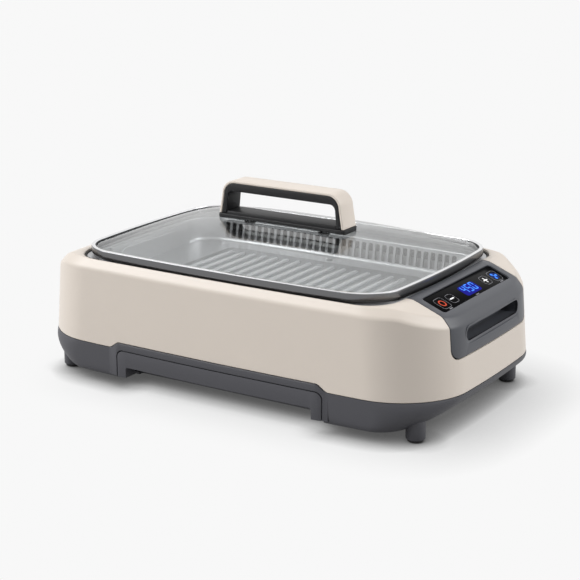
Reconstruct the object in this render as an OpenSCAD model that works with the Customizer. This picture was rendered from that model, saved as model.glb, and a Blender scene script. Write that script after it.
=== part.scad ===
// Electric indoor grill with a lift-off domed glass lid.
// Millimetres, +Z up, +X to the control panel, -Y to the drip drawer.
// The origin is the middle of the footprint, on the surface that the feet stand on.

/* [Body] */
// Length of the body at the seam, at its corners
body_l = 520; // [490:1:560]
// Depth of the body at the seam, at its corners
body_w = 287.4; // [276:0.2:310]
// How far each side of the body bows out at its middle
bow = 6.5; // [3:0.5:8]
// Corner radius of the body at the seam
corner_r = 74.6; // [65:0.2:80]
// Height of the seam between the upper shell and the base
seam_z = 46.9; // [44:0.1:54]
// Height of the shell's rim round the lid
rim_z = 144.7; // [142:0.1:150]
// Wall of the moulded shells
wall = 2.6; // [2:0.1:3]
// How far each end wall leans in between the seam and the crease
end_draft = 5.8; // [2:0.1:8]
// How far the long walls lean in between the seam and the crease
side_draft = 0.7; // [0.2:0.1:1.2]
// Width of the bevel above the crease, at the ends
bevel_x = 6.7; // [4:0.1:8]
// Width of the bevel above the crease, on the long sides
bevel_y = 5.5; // [5:0.1:5.8]
// Height of the bevel above the crease
bevel_z = 9.7; // [8:0.1:12]
// Length of the sloping ends of the top, from the end of the body
knee_in = 51; // [44:0.5:54]
// Angle of the sloping ends of the top
slope_a = 22.6; // [18:0.1:26]

/* [Opening for the plate] */
// Distance from each end of the body to the opening in the top
opening_in_x = 59.2; // [56:0.2:60]
// Distance from the front or back of the body to the opening
opening_in_y = 5.5; // [4.9:0.1:5.9]
// Corner radius of the opening
opening_r = 34.9; // [30:0.1:40]
// How far each side of the opening bows out
opening_bow = 3.3; // [3:0.1:4]
// Depth of the lip that hangs from the opening's edge
lip_h = 14; // [10:0.5:18]

/* [Base] */
// Height of the base's underside
base_z = 12; // [11:0.5:14]
// How far each end of the base curves in from the seam to the underside
end_in = 43; // [38:0.5:45]
// Corner radius of the base's underside
under_r = 30; // [27:0.5:36]
// How far the drawer's front and its surround stay above the underside
drawer_lift = 3; // [1:0.5:4]
// Distance of each foot's middle from the end of the body
foot_in_x = 31; // [28:0.5:36]
// Distance of each foot's middle from the front or back of the body
foot_in_y = 31.7; // [29.7:0.5:39.7]
// Radius of a foot at its pad
foot_r = 10.5; // [9:0.1:12]
// Height of a foot's leg above the table
foot_gap = 3; // [2:0.1:5]

/* [Drip drawer] */
// Distance from each end of the body to the drawer's front
drawer_in = 125.5; // [124:0.5:135]
// How far the drawer's front sits to the right of the middle
drawer_shift = 3; // [0:0.5:5]
// Height of the top edge of the drawer's front
drawer_top = 46; // [44:0.1:47]
// Corner radius of the drawer's front
drawer_r = 8; // [4:0.5:12]
// Thickness of the drawer's front panel
drawer_t = 5; // [3:0.5:6]
// Distance from each side of the drawer's front to the finger cut-out
grip_in = 12; // [11:0.5:54]
// Height of the finger cut-out's top edge
grip_z = 27.5; // [24:0.5:30]
// How much shorter the surround's top edge is at each side than the drawer's front
surround_in = 5.5; // [4.5:0.5:14]
// Width over which the surround steps down to the seam
surround_step = 16; // [10:1:20]
// Height of the surround's top edge
surround_top = 54.6; // [53:0.1:60]
// How far the surround stands out from the wall
proud = 2.5; // [1:0.1:4]
// Distance from each side of the drawer's front to the drip tray
tray_in = 17; // [14.5:0.5:34]
// Distance from the back of the body to the drip tray
tray_in_y = 23.4; // [18:0.2:60]
// Wall of the drip tray
tray_wall = 1.6; // [1:0.1:2.5]

/* [Control panel] */
// Width of the control fascia, front to back
fascia_w = 180; // [172:1:184]
// Height of the fascia's bottom edge
fascia_z = 86; // [80:0.5:92]
// Corner radius at the fascia's bottom edge
fascia_r = 12; // [6:0.5:18]
// Length of the touch glass, front to back
glass_l = 160; // [140:1:166]
// Width of the touch glass, down the slope
glass_w = 28.8; // [26:0.1:30]
// Thickness of the touch glass
glass_t = 1.6; // [1.2:0.1:2]
// Distance from the knee of the top to the glass
glass_off = 6.9; // [5:0.1:7.5]
// Length of each carry recess
recess_l = 127; // [100:1:130]
// Height of each carry recess
recess_h = 15; // [12:0.5:16]
// Height of the middle of each carry recess
recess_z = 107.3; // [104:0.1:108]
// Depth of each carry recess
recess_d = 20; // [12:0.5:22]
// Width of the grip panel on the left end
left_w = 152; // [146:1:160]
// Gap round each panel that is let into the shell
panel_gap = 0.3; // [0.2:0.05:0.5]

/* [Grill plate] */
// Gap between the plate's flange and the opening
flange_gap = 2.4; // [2:0.1:2.8]
// Thickness of the plate's flange
flange_t = 2; // [1.5:0.1:2.4]
// Distance from each end of the opening to the cooking well
well_in_x = 6.8; // [6.3:0.1:9]
// Distance from the front or back of the opening to the cooking well
well_in_y = 26.2; // [24.2:0.2:30]
// Height of the cooking surface
floor_z = 114; // [110:0.5:116]
// Thickness of the plate's floor
floor_t = 4; // [3:0.1:5]
// Wall of the plate
plate_wall = 2.6; // [2:0.1:3]
// Distance between the ribs
rib_pitch = 15.8; // [14:0.1:18]
// Number of ribs
rib_count = 16; // [8:1:18]
// Height of a rib
rib_h = 3.2; // [2:0.1:4]
// Length of a rib
rib_l = 146; // [100:1:160]
// Height of the raised field that the ribs stand on
field_h = 1; // [0.5:0.1:2]
// Width of a rib at its foot
rib_w = 6; // [4:0.1:7]
// Distance between the smoke slots in the back wall
slot_pitch = 9.3; // [8.5:0.1:9.4]
// Number of smoke slots
slot_count = 35; // [11:2:35]
// Width of a smoke slot
slot_w = 6; // [4:0.1:6.5]
// Height of a smoke slot
slot_h = 22; // [14:0.5:22]

/* [Heating] */
// Diameter of the heating tube
tube_d = 7; // [6:0.1:8]
// Distance between the runs of the heating tube
run_pitch = 50; // [44:1:54]
// Distance from each end of the opening to the bends of the heating tube
run_in = 50.8; // [48.8:0.2:70]
// Height of the reflector's floor
reflector_z = 84; // [82:0.5:86]
// Thickness of the reflector's sheet
sheet_t = 1; // [0.8:0.1:1.2]

/* [Smoke fan] */
// Distance from the left end of the opening to the fan's axis
fan_in = 33.8; // [30.8:0.2:33.8]
// Place of the fan's axis along the depth
fan_y = 10; // [0:1:20]
// Radius of the fan wheel
wheel_r = 36; // [30:0.5:38]
// Height of the fan wheel
wheel_h = 22; // [16:0.5:23]
// Number of blades
blade_count = 24; // [16:1:30]
// Diameter of the motor's shaft
shaft_d = 4; // [3:0.5:5]
// Underside of the fan's housing
fan_z = 50; // [49:0.5:52]
// Outer height of the fan's housing
fan_h = 28; // [26:0.5:30]

/* [Lid] */
// Gap between the lid and the opening
lid_gap = 4.3; // [4.1:0.1:5]
// Corner radius of the lid
lid_r = 40.8; // [36:0.1:44]
// How far each side of the lid bows out
lid_bow = 6.6; // [6:0.1:6.8]
// Height of the lid's top lip
lid_z = 154.6; // [153:0.1:160]
// Height of the visible band of the lid's rim
rim_band = 8.4; // [7:0.1:9]
// Rise of the glass above its edge
dome_h = 27.7; // [20:0.1:34]
// Thickness of the lid's glass
lid_glass_t = 4; // [3:0.1:4.2]

/* [Handle] */
// Length of the handle
handle_l = 169.6; // [150:0.2:180]
// Depth of the handle, front to back
handle_w = 31.6; // [26:0.2:34]
// Height of the handle above the crown of the glass
handle_h = 43.6; // [40:0.1:52]
// Height of the handle's foot plate above the crown of the glass
handle_foot = 4; // [3:0.1:6]
// Height of the raised middle of the foot plate, under the fingers
handle_rise = 3.3; // [1:0.1:5]
// How far the foot plate stands out round the arch
handle_ledge = 1.6; // [0.5:0.1:3]
// Thickness of the cream cap
cap_t = 3; // [2.5:0.1:4]
// Thickness of the dark arch at the top
arch_t = 9.5; // [7:0.1:11]
// Thickness of the dark arch's legs
leg_t = 6.5; // [5:0.1:7]
// Distance of each handle screw from the middle
handle_screw_x = 50; // [40:1:58]

/* [Hidden] */
$fn = 64;

cream = "#e9dfd6";
charcoal = "#4b4b50";
slate = "#60646c";
black = "#1b1b1d";
steel = "#b9bbbe";

// Steps round a corner, along an end and along a long side of every outline
corner_steps = 9;
end_steps = 3;
side_steps = 5;
// Clearance between pieces that rest on each other
seat = 0.3;
big = 400;

body_hx = body_l / 2;
body_hy = body_w / 2;
crease_r = corner_r + 1;
crest_r = crease_r;
opening_hx = body_hx - opening_in_x;
opening_hy = body_hy - opening_in_y;
knee_x = body_hx - knee_in;
foot_x = body_hx - foot_in_x;
foot_y = body_hy - foot_in_y;
lip_z = rim_z - lip_h;
// Shell's rim edge is rounded by this much
edge_r = 1.5;
// The top bends over this length at the knee
knee_r = 5;
slope = tan(slope_a);
front_top = drawer_top + panel_gap;
drawer_w = body_l - 2 * drawer_in;
surround_w = drawer_w - 2 * surround_in;

function sq(v) = v * v;
function mix(a, b, t) = [for (i = [0:len(a) - 1]) a[i] + (b[i] - a[i]) * t];
function bend(a, b, c, t) = [for (i = [0:len(a) - 1])
    sq(1 - t) * a[i] + 2 * t * (1 - t) * b[i] + t * t * c[i]];
function ease(t) = let (u = min(1, max(0, t))) u * u * (3 - 2 * u);

// Points of a rounded rectangle, counter-clockwise from the front right corner
function outline(hx, hy, r) = [
    for (k = [0:3]) let (
        sx = (k < 2) ? 1 : -1,
        sy = (k == 1 || k == 2) ? 1 : -1,
        nx = (k == 1 || k == 2) ? -1 : 1,
        ny = (k < 2) ? 1 : -1,
        c = [sx * (hx - r), sy * (hy - r)],
        a1 = 90 * k,
        p = c + r * [cos(a1), sin(a1)],
        q = [nx * (hx - r), ny * (hy - r)] + r * [cos(a1), sin(a1)],
        n = (k % 2 == 0) ? end_steps : side_steps)
    each concat(
        [for (i = [0:corner_steps]) let (a = a1 - 90 + 90 * i / corner_steps)
            c + r * [cos(a), sin(a)]],
        [for (i = [1:n]) p + (q - p) * i / (n + 1)])];

// Moves a point of an outline out with the bow of its sides
function bowed(p, hx, hy, b) = [
    p.x + sign(p.x) * b * (1 - sq(p.y / hy)) * abs(p.x / hx),
    p.y + sign(p.y) * b * (1 - sq(p.x / hx)) * abs(p.y / hy)];
function bowed_outline(hx, hy, r, b) = [for (p = outline(hx, hy, r)) bowed(p, hx, hy, b)];
function ring(hx, hy, r, b, z) = [for (p = bowed_outline(hx, hy, r, b)) [p.x, p.y, z]];

// Height of the top of the shell at a distance from the middle
function top_z(x) = let (d = abs(x) - knee_x)
    rim_z - (d < -knee_r ? 0 : d < knee_r ? slope * sq(d + knee_r) / (4 * knee_r) : slope * d);
// A ring that follows the top, or hangs below the same place on another outline
function top_ring(hx, hy, r, b, lift) = [for (p = outline(hx, hy, r))
    let (q = bowed(p, hx, hy, b)) [q.x, q.y, top_z(p.x) + lift]];
function hung_ring(hx, hy, r, b, ref, lift) = let (o = outline(hx, hy, r))
    [for (i = [0:len(o) - 1]) let (q = bowed(o[i], hx, hy, b)) [q.x, q.y, top_z(ref[i].x) + lift]];

// Outer face of the walls at a height, at a place along the other side
function lean(z) = (z - seam_z) / (rim_z - bevel_z - seam_z);
function end_x(y, z) = body_hx - end_draft * lean(z) + bow * (1 - sq(y / body_hy));
function side_y(x, z) = body_hy - side_draft * lean(z) + bow * (1 - sq(x / body_hx));

// A skin through rings of points, with flat ends or joined round on itself
module loft(rings, round = false) {
    n = len(rings[0]);
    m = len(rings);
    last = round ? m - 1 : m - 2;
    sides = [for (i = [0:last]) for (j = [0:n - 1])
        let (a = i * n + j, b = i * n + (j + 1) % n,
            c = ((i + 1) % m) * n + (j + 1) % n, d = ((i + 1) % m) * n + j)
        each [[a, d, c], [a, c, b]]];
    ends = round ? [] : [[for (j = [0:n - 1]) j], [for (j = [n - 1:-1:0]) (m - 1) * n + j]];
    polyhedron([for (r = rings) each r], concat(sides, ends), convexity = 10);
}

// Rounded rectangle between two corners, as a flat shape
function rounded(x0, y0, x1, y1, r) = [
    for (k = [0:3]) let (cx = (k == 1 || k == 2) ? x0 + r : x1 - r, cy = (k < 2) ? y1 - r : y0 + r)
    for (i = [0:6]) let (a = 90 * k + 15 * i) [cx + r * cos(a), cy + r * sin(a)]];

module along_x(x0, x1) translate([x0, 0, 0]) rotate([90, 0, 90]) linear_extrude(x1 - x0) children();
module along_y(y0, y1) translate([0, y1, 0]) rotate([90, 0, 0]) linear_extrude(y1 - y0) children();
module along_z(z0, z1) translate([0, 0, z0]) linear_extrude(z1 - z0) children();
module box(a, b) translate(a) cube(b - a);
module post(x, y, z0, z1, r) translate([x, y, z0]) cylinder(r = r, h = z1 - z0);
module corners(x, y) for (sx = [-1, 1], sy = [-1, 1]) translate([sx * x, sy * y, 0]) children();

// The moulded skin of the upper body, from the seam over the rim and back inside
function skin_rings() = let (
    crest = outline(body_hx - end_draft - bevel_x, body_hy - side_draft - bevel_y, crest_r),
    foot = ring(body_hx, body_hy, corner_r, bow, seam_z),
    low = hung_ring(body_hx - end_draft, body_hy - side_draft, crease_r, bow, crest, -bevel_z),
    high = hung_ring(body_hx - end_draft - bevel_x, body_hy - side_draft - bevel_y, crest_r,
        bow, crest, 0),
    shelf = [for (t = [0.3, 0.6, 0.8, 0.92]) top_ring(
        (body_hx - end_draft - bevel_x) * (1 - t) + opening_hx * t,
        (body_hy - side_draft - bevel_y) * (1 - t) + opening_hy * t,
        crest_r * (1 - t) + opening_r * t, bow * (1 - t) + opening_bow * t, 0)],
    a = mix(low, foot, 0.035), b = mix(low, high, 0.28), c = mix(high, low, 0.25),
    d = mix(high, shelf[0], 0.25),
    edge = top_ring(opening_hx, opening_hy, opening_r, opening_bow, 0),
    under = hung_ring(body_hx - end_draft - bevel_x - 1.5, body_hy - side_draft - bevel_y + 1.2,
        crest_r, bow, crest, -wall - 0.6),
    inside = hung_ring(body_hx - end_draft - wall, body_hy - side_draft - wall, crease_r - wall,
        bow, crest, -bevel_z - 1.2))
    concat([foot], [for (t = [0, 0.5, 1]) bend(a, low, b, t)],
        [for (t = [0, 0.5, 1]) bend(c, high, d, t)], shelf,
        [top_ring(opening_hx + 0.4, opening_hy + 0.4, opening_r, opening_bow, -0.15),
            top_ring(opening_hx, opening_hy, opening_r, opening_bow, -edge_r),
            ring(opening_hx, opening_hy, opening_r, opening_bow, lip_z),
            ring(opening_hx + wall, opening_hy + wall, opening_r + wall, opening_bow, lip_z),
            top_ring(opening_hx + wall, opening_hy + wall, opening_r + wall, opening_bow, -wall - 0.6),
            under, inside,
            ring(body_hx - wall, body_hy - wall, corner_r - wall, bow, seam_z)]);

module skin() loft(skin_rings(), round = true);

// Place on an end of the body that a panel takes up
module fascia_zone(grow) {
    hw = fascia_w / 2 + grow;
    along_x(opening_hx - 20, body_hx + 20)
        polygon(rounded(-hw, fascia_z - grow, hw, rim_z + 40, fascia_r));
}
module left_zone(grow) {
    hw = left_w / 2 + grow;
    margin = 13;
    mirror([1, 0, 0]) along_x(body_hx - 40, body_hx + 20)
        polygon(rounded(-hw, recess_z - recess_h / 2 - margin - grow, hw,
            recess_z + recess_h / 2 + 5 + grow, 7));
}

// Carry recess: a pocket behind a long slot in an end wall
recess_back = end_x(0, recess_z) - recess_d;
module recess_shape(grow) {
    hw = recess_l / 2 + grow;
    hh = recess_h / 2 + grow;
    polygon(rounded(-hw, recess_z - hh, hw, recess_z + hh, recess_h / 2 - 0.5 + grow));
}
module recess_walls() along_x(recess_back - wall, end_x(recess_l / 2 + 3, recess_z) - 0.6) recess_shape(2);
module recess_hollow() along_x(recess_back, body_hx + 20) recess_shape(0);

// Rear openings of the upper shell
fan_x = fan_in - opening_hx;
duct_x0 = fan_x + 9;
duct_x1 = fan_x + 43;
inlet_x = body_hx - 110;
inlet_w = 30;
inlet_h = 24;
inlet_z = 66;
module rear_openings() {
    box([duct_x0 - 0.5, body_hy - 12, fan_z - 0.5], [duct_x1 + 0.5, body_hy + 20, fan_z + fan_h + 0.5]);
    box([inlet_x - inlet_w / 2 - seat, body_hy - 12, inlet_z - inlet_h / 2 - seat],
        [inlet_x + inlet_w / 2 + seat, body_hy + 20, inlet_z + inlet_h / 2 + seat]);
}

// Front view of the raised surround, with its top edge eased down to the seam
function surround_edge(grow) = let (h = surround_w / 2, s = surround_step, n = 8)
    concat(
        [for (i = [0:n]) [-(h + s) + s * i / n - grow,
            seam_z + (surround_top - seam_z) * ease(i / n) + grow]],
        [for (i = [n:-1:0]) [(h + s) - s * i / n + grow,
            seam_z + (surround_top - seam_z) * ease(i / n) + grow]]);
module surround_front(grow, bottom) {
    e = surround_edge(grow);
    n = len(e);
    polygon(concat([[e[0].x, bottom]], e, [[e[n - 1].x, bottom]]));
}
// Plan of the surround and the drawer's front, which stand out from the bowed wall
function proud_y(x) = side_y(x, seam_z) + proud * ease((surround_w / 2 + surround_step - abs(x))
    / surround_step);
module proud_plan(x0, x1, out, back) {
    n = 36;
    polygon(concat([for (i = [0:n]) let (x = x0 + (x1 - x0) * i / n) [x, -proud_y(x) + out]],
        [[x1, -back], [x0, -back]]));
}

// Screws between base and shell stand in the corners
screw_x = body_hx - 48;
screw_y = body_hy - 27.7;
module upper_shell() color(cream) {
    difference() {
        skin();
        fascia_zone(panel_gap);
        left_zone(panel_gap);
        rear_openings();
        along_y(-body_hy - 20, -body_hy + 12) surround_front(panel_gap, seam_z - 10);
    }
    corners(screw_x, screw_y) difference() {
        post(0, 0, seam_z, top_z(screw_x) - wall + 0.4, 5);
        post(0, 0, seam_z - 1, seam_z + 22, 1.7);
    }
}

// The outer wall and the inside of the base, before anything is cut
module base_form(inset, z0, z1) loft(concat(
    [for (t = [1, 0.95, 0.87, 0.77, 0.65, 0.5, 0.34, 0.17, 0])
        ring(body_hx - inset - end_in * pow(t, 1.75), body_hy - inset - 2.5 * pow(t, 12),
            corner_r - inset - (corner_r - under_r) * t, bow, z0 + run_h * (1 - t))],
    z1 > z0 + run_h + 0.1 ? [ring(body_hx - inset, body_hy - inset, corner_r - inset, bow, z1)] : []));

// Height over which the ends curve in
run_h = seam_z - seat - base_z;
floor_in = base_z + wall;
board_z = 30;
board_x0 = body_hx - 124;
board_x1 = body_hx - 36;
board_hy = 60;
board_hole = 5;
motor_z = 30;
post_r = 3;
module board_corners() for (x = [board_x0 + board_hole, board_x1 - board_hole],
    y = [-board_hy + board_hole, board_hy - board_hole]) translate([x, y, 0]) children();
fan_post_r = wheel_r;
module fan_posts() for (a = [80, 200, 320])
    translate([fan_x + fan_post_r * cos(a), fan_y + fan_post_r * sin(a), 0]) children();

drawer_x0 = drawer_shift - drawer_w / 2;
drawer_x1 = drawer_shift + drawer_w / 2;
grip_x0 = drawer_x0 + grip_in;
grip_x1 = drawer_x1 - grip_in;
drawer_back = body_hy - 8;
module base_pan() color(charcoal) {
    difference() {
        union() {
            base_form(0, base_z, seam_z - seat);
            intersection() {
                along_z(base_z + drawer_lift, surround_top) proud_plan(-surround_w / 2 - surround_step,
                    surround_w / 2 + surround_step, 0, drawer_back);
                along_y(-body_hy - 20, 0) surround_front(-seat, base_z - 1);
            }
            corners(foot_x, foot_y) post_leg();
        }
        base_form(wall, floor_in, surround_top + 5);
        along_y(-body_hy - 20, -drawer_back + 10) polygon(rounded(drawer_x0 - panel_gap, -10,
            drawer_x1 + panel_gap, front_top, drawer_r));
        box([grip_x0, -body_hy - 20, 0], [grip_x1, -body_hy + 24, floor_in + 1]);
        corners(foot_x, foot_y) post(0, 0, -1, foot_gap + 1.6, foot_r - 1.5);
        corners(screw_x, screw_y) post(0, 0, base_z - 1, floor_in + 1, 4.4);
        exhaust_slots();
    }
    corners(screw_x, screw_y) difference() {
        post(0, 0, floor_in - 0.5, seam_z - seat, 5.5);
        post(0, 0, base_z - 1, seam_z + 1, 2.3);
        post(0, 0, base_z - 1, floor_in + 2.5, 4.4);
    }
    board_corners() difference() {
        post(0, 0, floor_in - 0.5, board_z, post_r);
        post(0, 0, board_z - 8, board_z + 1, 1.2);
    }
    fan_posts() post(0, 0, floor_in - 0.5, fan_z - seat, post_r);
}
// A foot's leg, straight up into the curved underside
module post_leg() post(0, 0, foot_gap, seam_z - 14, foot_r);
// Cooling slots in the floor under the boards
module exhaust_slots() for (i = [0:6]) box([board_x0 + 8 + 10 * i, -40, 0], [board_x0 + 12 + 10 * i, 40, 25]);

module control_fascia() color(slate) difference() {
    union() {
        intersection() {
            skin();
            fascia_zone(0);
        }
        recess_walls();
        on_slope() for (s = [-1, 1], x = [glass_off + 4, glass_off + glass_w - 4])
            translate([x, s * (glass_l / 2 - 2), -board_drop]) cylinder(r = 2.5, h = board_drop - wall + 0.4);
    }
    recess_hollow();
    on_slope() {
        slab(glass_off - 0.25, glass_off + glass_w + 0.25, glass_l / 2 + 0.25, -glass_t, 5, 4);
        slab(glass_off + 5, glass_off + glass_w - 5, glass_l / 2 - 8, -8, 1, 2);
    }
}

// The plane of the sloping top on the right, with its x down the slope
module on_slope() translate([knee_x, 0, rim_z]) rotate([0, slope_a, 0]) children();
module slab(x0, x1, hy, z0, z1, r) along_z(z0, z1) polygon(rounded(x0, -hy, x1, hy, r));
board_drop = 8;
board_t = 1.6;

module left_grip_panel() color(slate) difference() {
    union() {
        intersection() {
            skin();
            left_zone(0);
        }
        mirror([1, 0, 0]) recess_walls();
    }
    mirror([1, 0, 0]) recess_hollow();
}
module touch_glass() color(black) on_slope()
    slab(glass_off, glass_off + glass_w, glass_l / 2, 0.1 - glass_t, 0.1, 4);
module touch_board() color("darkgreen") on_slope()
    slab(glass_off + 1, glass_off + glass_w - 1, glass_l / 2 - 0.5, -board_drop - board_t - 0.1,
        -board_drop - 0.1, 2);
display_y = 12;
module display_module() color(black) on_slope()
    slab(glass_off + 5.4, glass_off + glass_w - 5.4, 24, -board_drop, -glass_t - 0.1, 1);

module power_board() color("darkgreen") difference() {
    box([board_x0, -board_hy, board_z + 0.1], [board_x1, board_hy, board_z + 0.1 + board_t]);
    board_corners() post(0, 0, board_z - 5, board_z + 5, 1.6);
}
board_top = board_z + board_t + 0.3;
module board_parts() color(black) {
    box([board_x0 + 14, -45, board_top], [board_x0 + 36, -28, board_top + 16]);
    post(board_x0 + 56, -30, board_top, board_top + 24, 9);
    post(board_x0 + 34, 0, board_top, board_top + 18, 6);
    box([board_x0 + 60, 5, board_top], [board_x0 + 70, 45, board_top + 20]);
    box([board_x0 + 8, 30, board_top], [board_x0 + 40, 44, board_top + 12]);
}
module board_screws() color(steel) board_corners() {
    post(0, 0, board_z - 7, board_top, 1.1);
    post(0, 0, board_top - 0.1, board_top + 2, 2.6);
}

inlet_y = side_y(inlet_x, inlet_z);
inlet_face = side_y(inlet_x - inlet_w / 2 - 3, inlet_z - inlet_h / 2 - 3) + seat;
inlet_depth = 26;
module power_inlet() color(black) difference() {
    union() {
        box([inlet_x - inlet_w / 2, inlet_y - inlet_depth, inlet_z - inlet_h / 2],
            [inlet_x + inlet_w / 2, inlet_face + 1, inlet_z + inlet_h / 2]);
        along_y(inlet_face, inlet_face + 1.7) polygon(rounded(inlet_x - inlet_w / 2 - 3,
            inlet_z - inlet_h / 2 - 3, inlet_x + inlet_w / 2 + 3, inlet_z + inlet_h / 2 + 3, 4));
    }
    along_y(inlet_y - inlet_depth + 4, inlet_y + 5) polygon(rounded(inlet_x - inlet_w / 2 + 2.5,
        inlet_z - inlet_h / 2 + 3.5, inlet_x + inlet_w / 2 - 2.5, inlet_z + inlet_h / 2 - 3.5, 4));
    pins(seat / 3);
}
module pins(grow) for (p = [[-7, -2], [0, 2], [7, -2]])
    box([inlet_x + p.x - 1 - grow, inlet_y - inlet_depth - 5 - grow, inlet_z + p.y - 2 - grow],
        [inlet_x + p.x + 1 + grow, inlet_y - 8 + grow, inlet_z + p.y + 2 + grow]);
module inlet_pins() color(steel) pins(0);

// A lead that runs straight from point to point
module lead(points, r) for (i = [1:len(points) - 1]) {
    a = points[i - 1];
    d = points[i] - a;
    translate(a) rotate([0, acos(d.z / norm(d)), atan2(d.y, d.x)]) cylinder(r = r, h = norm(d));
    if (i < len(points) - 1) translate(points[i]) sphere(r = r);
}
lead_r = 1.6;
module mains_leads() color(black) for (s = [-1, 1]) let (x = inlet_x + 7 * s,
    y = inlet_y - inlet_depth - 5.3)
    lead([[x, y, inlet_z - 2], [x, y - 10, inlet_z - 2], [x, y - 10, board_top + 15],
        [x, 37, board_top + 15], [x, 37, board_top + 12.3]], lead_r);

grille_y = side_y(0, seam_z) + proud;
module exhaust_grille() color(charcoal) {
    z0 = fan_z - 3;
    z1 = fan_z + fan_h + 3;
    y0 = side_y(duct_x1, seam_z) + seat;
    difference() {
        along_y(y0, grille_y) polygon(rounded(duct_x0 - 4, z0, duct_x1 + 4, z1, 4));
        along_y(y0 - 1, grille_y + 1) polygon(rounded(duct_x0 + 2, fan_z + 2, duct_x1 - 2,
            fan_z + fan_h - 2, 2));
    }
    for (i = [0:2]) translate([0, 0, fan_z + 6 + 6.5 * i])
        box([duct_x0 + 1, y0 + 0.5, 0], [duct_x1 - 1, grille_y - 0.6, 2]);
}

// Black ring in the opening that carries the plate's flange
ring_z = rim_z - 5;
ring_t = 2.5;
ring_skirt = 18.7;
ring_top = rim_z - edge_r - 0.4;
module support_ring() color(black) loft([
    ring(opening_hx - 0.5, opening_hy - 0.5, opening_r - 0.5, opening_bow, ring_top),
    ring(opening_hx - 0.5, opening_hy - 0.5, opening_r - 0.5, opening_bow, ring_z - ring_skirt),
    ring(opening_hx - 2.5, opening_hy - 2.5, opening_r - 2.5, opening_bow, ring_z - ring_skirt),
    ring(opening_hx - 2.5, opening_hy - 2.5, opening_r - 2.5, opening_bow, ring_z - ring_t),
    ring(well_hx + plate_wall + 0.6, opening_hy - 16, opening_r - 8, opening_bow - 0.3,
        ring_z - ring_t),
    ring(well_hx + plate_wall + 0.6, opening_hy - 16, opening_r - 8, opening_bow - 0.3,
        ring_z),
    ring(opening_hx - 1.8, opening_hy - 1.8, opening_r - 1.8, opening_bow, ring_z),
    ring(opening_hx - 1.8, opening_hy - 1.8, opening_r - 1.8, opening_bow, ring_top)], round = true);

// Sheet-metal pan under the plate, which holds the heating tube
pan_hx = opening_hx - 1;
pan_hy = opening_hy - 2;
pan_r = opening_r - 2;
filter_r = 27;
module heat_reflector() color(steel) difference() {
    loft([ring(pan_hx - 6, pan_hy - 6, pan_r - 6, opening_bow, reflector_z),
        ring(pan_hx, pan_hy, pan_r, opening_bow, ring_z - ring_skirt - seat),
        ring(pan_hx - sheet_t, pan_hy - sheet_t, pan_r - sheet_t, opening_bow,
            ring_z - ring_skirt - seat),
        ring(pan_hx - 6 - sheet_t, pan_hy - 6 - sheet_t, pan_r - 6 - sheet_t, opening_bow,
            reflector_z + sheet_t)]);
    post(fan_x, fan_y, reflector_z - 1, reflector_z + 3, filter_r - 4);
    post(0, drain_y, reflector_z - 1, reflector_z + 3, 8);
    for (s = [-1, 1]) translate([pan_hx - 20, s * 1.5 * run_pitch, tube_z]) rotate([0, 90, 0])
        cylinder(r = bushing_r + 0.1, h = 40);
}
post_x = pan_hx - 14.8;
post_y = pan_hy - 36.2;
module reflector_posts() color(steel) corners(post_x, post_y)
    post(0, 0, floor_in + seat, reflector_z - seat, 4);

// Heating tube: four runs joined by three bends
tube_z = floor_z - floor_t - tube_d / 2 - 2;
tube_end = pan_hx + 7;
bushing_r = 5.6;
run_half = opening_hx - run_in;
module run(y, x0, x1) translate([x0, y, tube_z]) rotate([0, 90, 0])
    cylinder(r = tube_d / 2, h = x1 - x0);
module turn(x, y, a) translate([x, y, tube_z]) rotate([0, 0, a])
    rotate_extrude(angle = 180) translate([run_pitch / 2, 0]) circle(r = tube_d / 2);
module heating_element() color("dimgray") {
    for (s = [-1, 1]) {
        run(s * 1.5 * run_pitch, -run_half, tube_end);
        run(s * 0.5 * run_pitch, -run_half, run_half);
        turn(-run_half, s * run_pitch, 90);
    }
    turn(run_half, 0, -90);
}
module element_bushings() color("ivory") for (s = [-1, 1])
    translate([0, s * 1.5 * run_pitch, tube_z]) rotate([0, 90, 0]) difference() {
        union() {
            translate([0, 0, pan_hx - 4]) cylinder(r = bushing_r, h = 9);
            translate([0, 0, pan_hx + 3]) cylinder(r = bushing_r + 2.4, h = 2);
        }
        cylinder(r = tube_d / 2 + 0.1, h = big);
    }
clip_w = 8;
module element_clips() color(steel) for (x = [-100, 100], k = [-1.5, -0.5, 0.5, 1.5])
    translate([x, k * run_pitch, 0]) difference() {
        union() {
            box([-clip_w / 2, -1, reflector_z + sheet_t + 0.2], [clip_w / 2, 1, tube_z]);
            translate([-clip_w / 2, 0, tube_z]) rotate([0, 90, 0]) cylinder(r = tube_d / 2 + 1.2,
                h = clip_w);
        }
        translate([-clip_w, 0, tube_z]) rotate([0, 90, 0]) cylinder(r = tube_d / 2 + 0.1,
            h = 2 * clip_w);
        box([-clip_w, -10, tube_z + 1], [clip_w, 10, tube_z + 10]);
    }
module heater_leads() color("white") for (s = [-1, 1])
    let (y = s * 1.5 * run_pitch, x = tube_end + 12, up = board_top + 30, to = board_x0 + (s > 0 ? 65 : 79))
    lead([[tube_end + 0.3, y, tube_z], [x, y, tube_z], [x, y, up], [x, s * 25, up],
        [to, s * 25, up], [to, s * 25, board_top + (s > 0 ? 20.3 : 0.3)]], lead_r);
module thermal_cutout() color(black) {
    post(90, 50, reflector_z - 7, reflector_z - seat, 8);
    post(90, 50, reflector_z - 11, reflector_z - 7.01, 5);
}

// Cast plate: a well with smoke slots in its back wall, hung by its flange
plate_z = ring_z + seat;
flange_top = plate_z + flange_t;
well_hx = opening_hx - well_in_x;
well_hy = opening_hy - well_in_y;
flange_hx = opening_hx - flange_gap;
flange_hy = opening_hy - flange_gap;
well_r = 30;
draft = 3.5;
drain_y = well_hy - 15;
field_hx = 132;
field_hy = well_hy - 28;
rib_y = -8;
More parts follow.
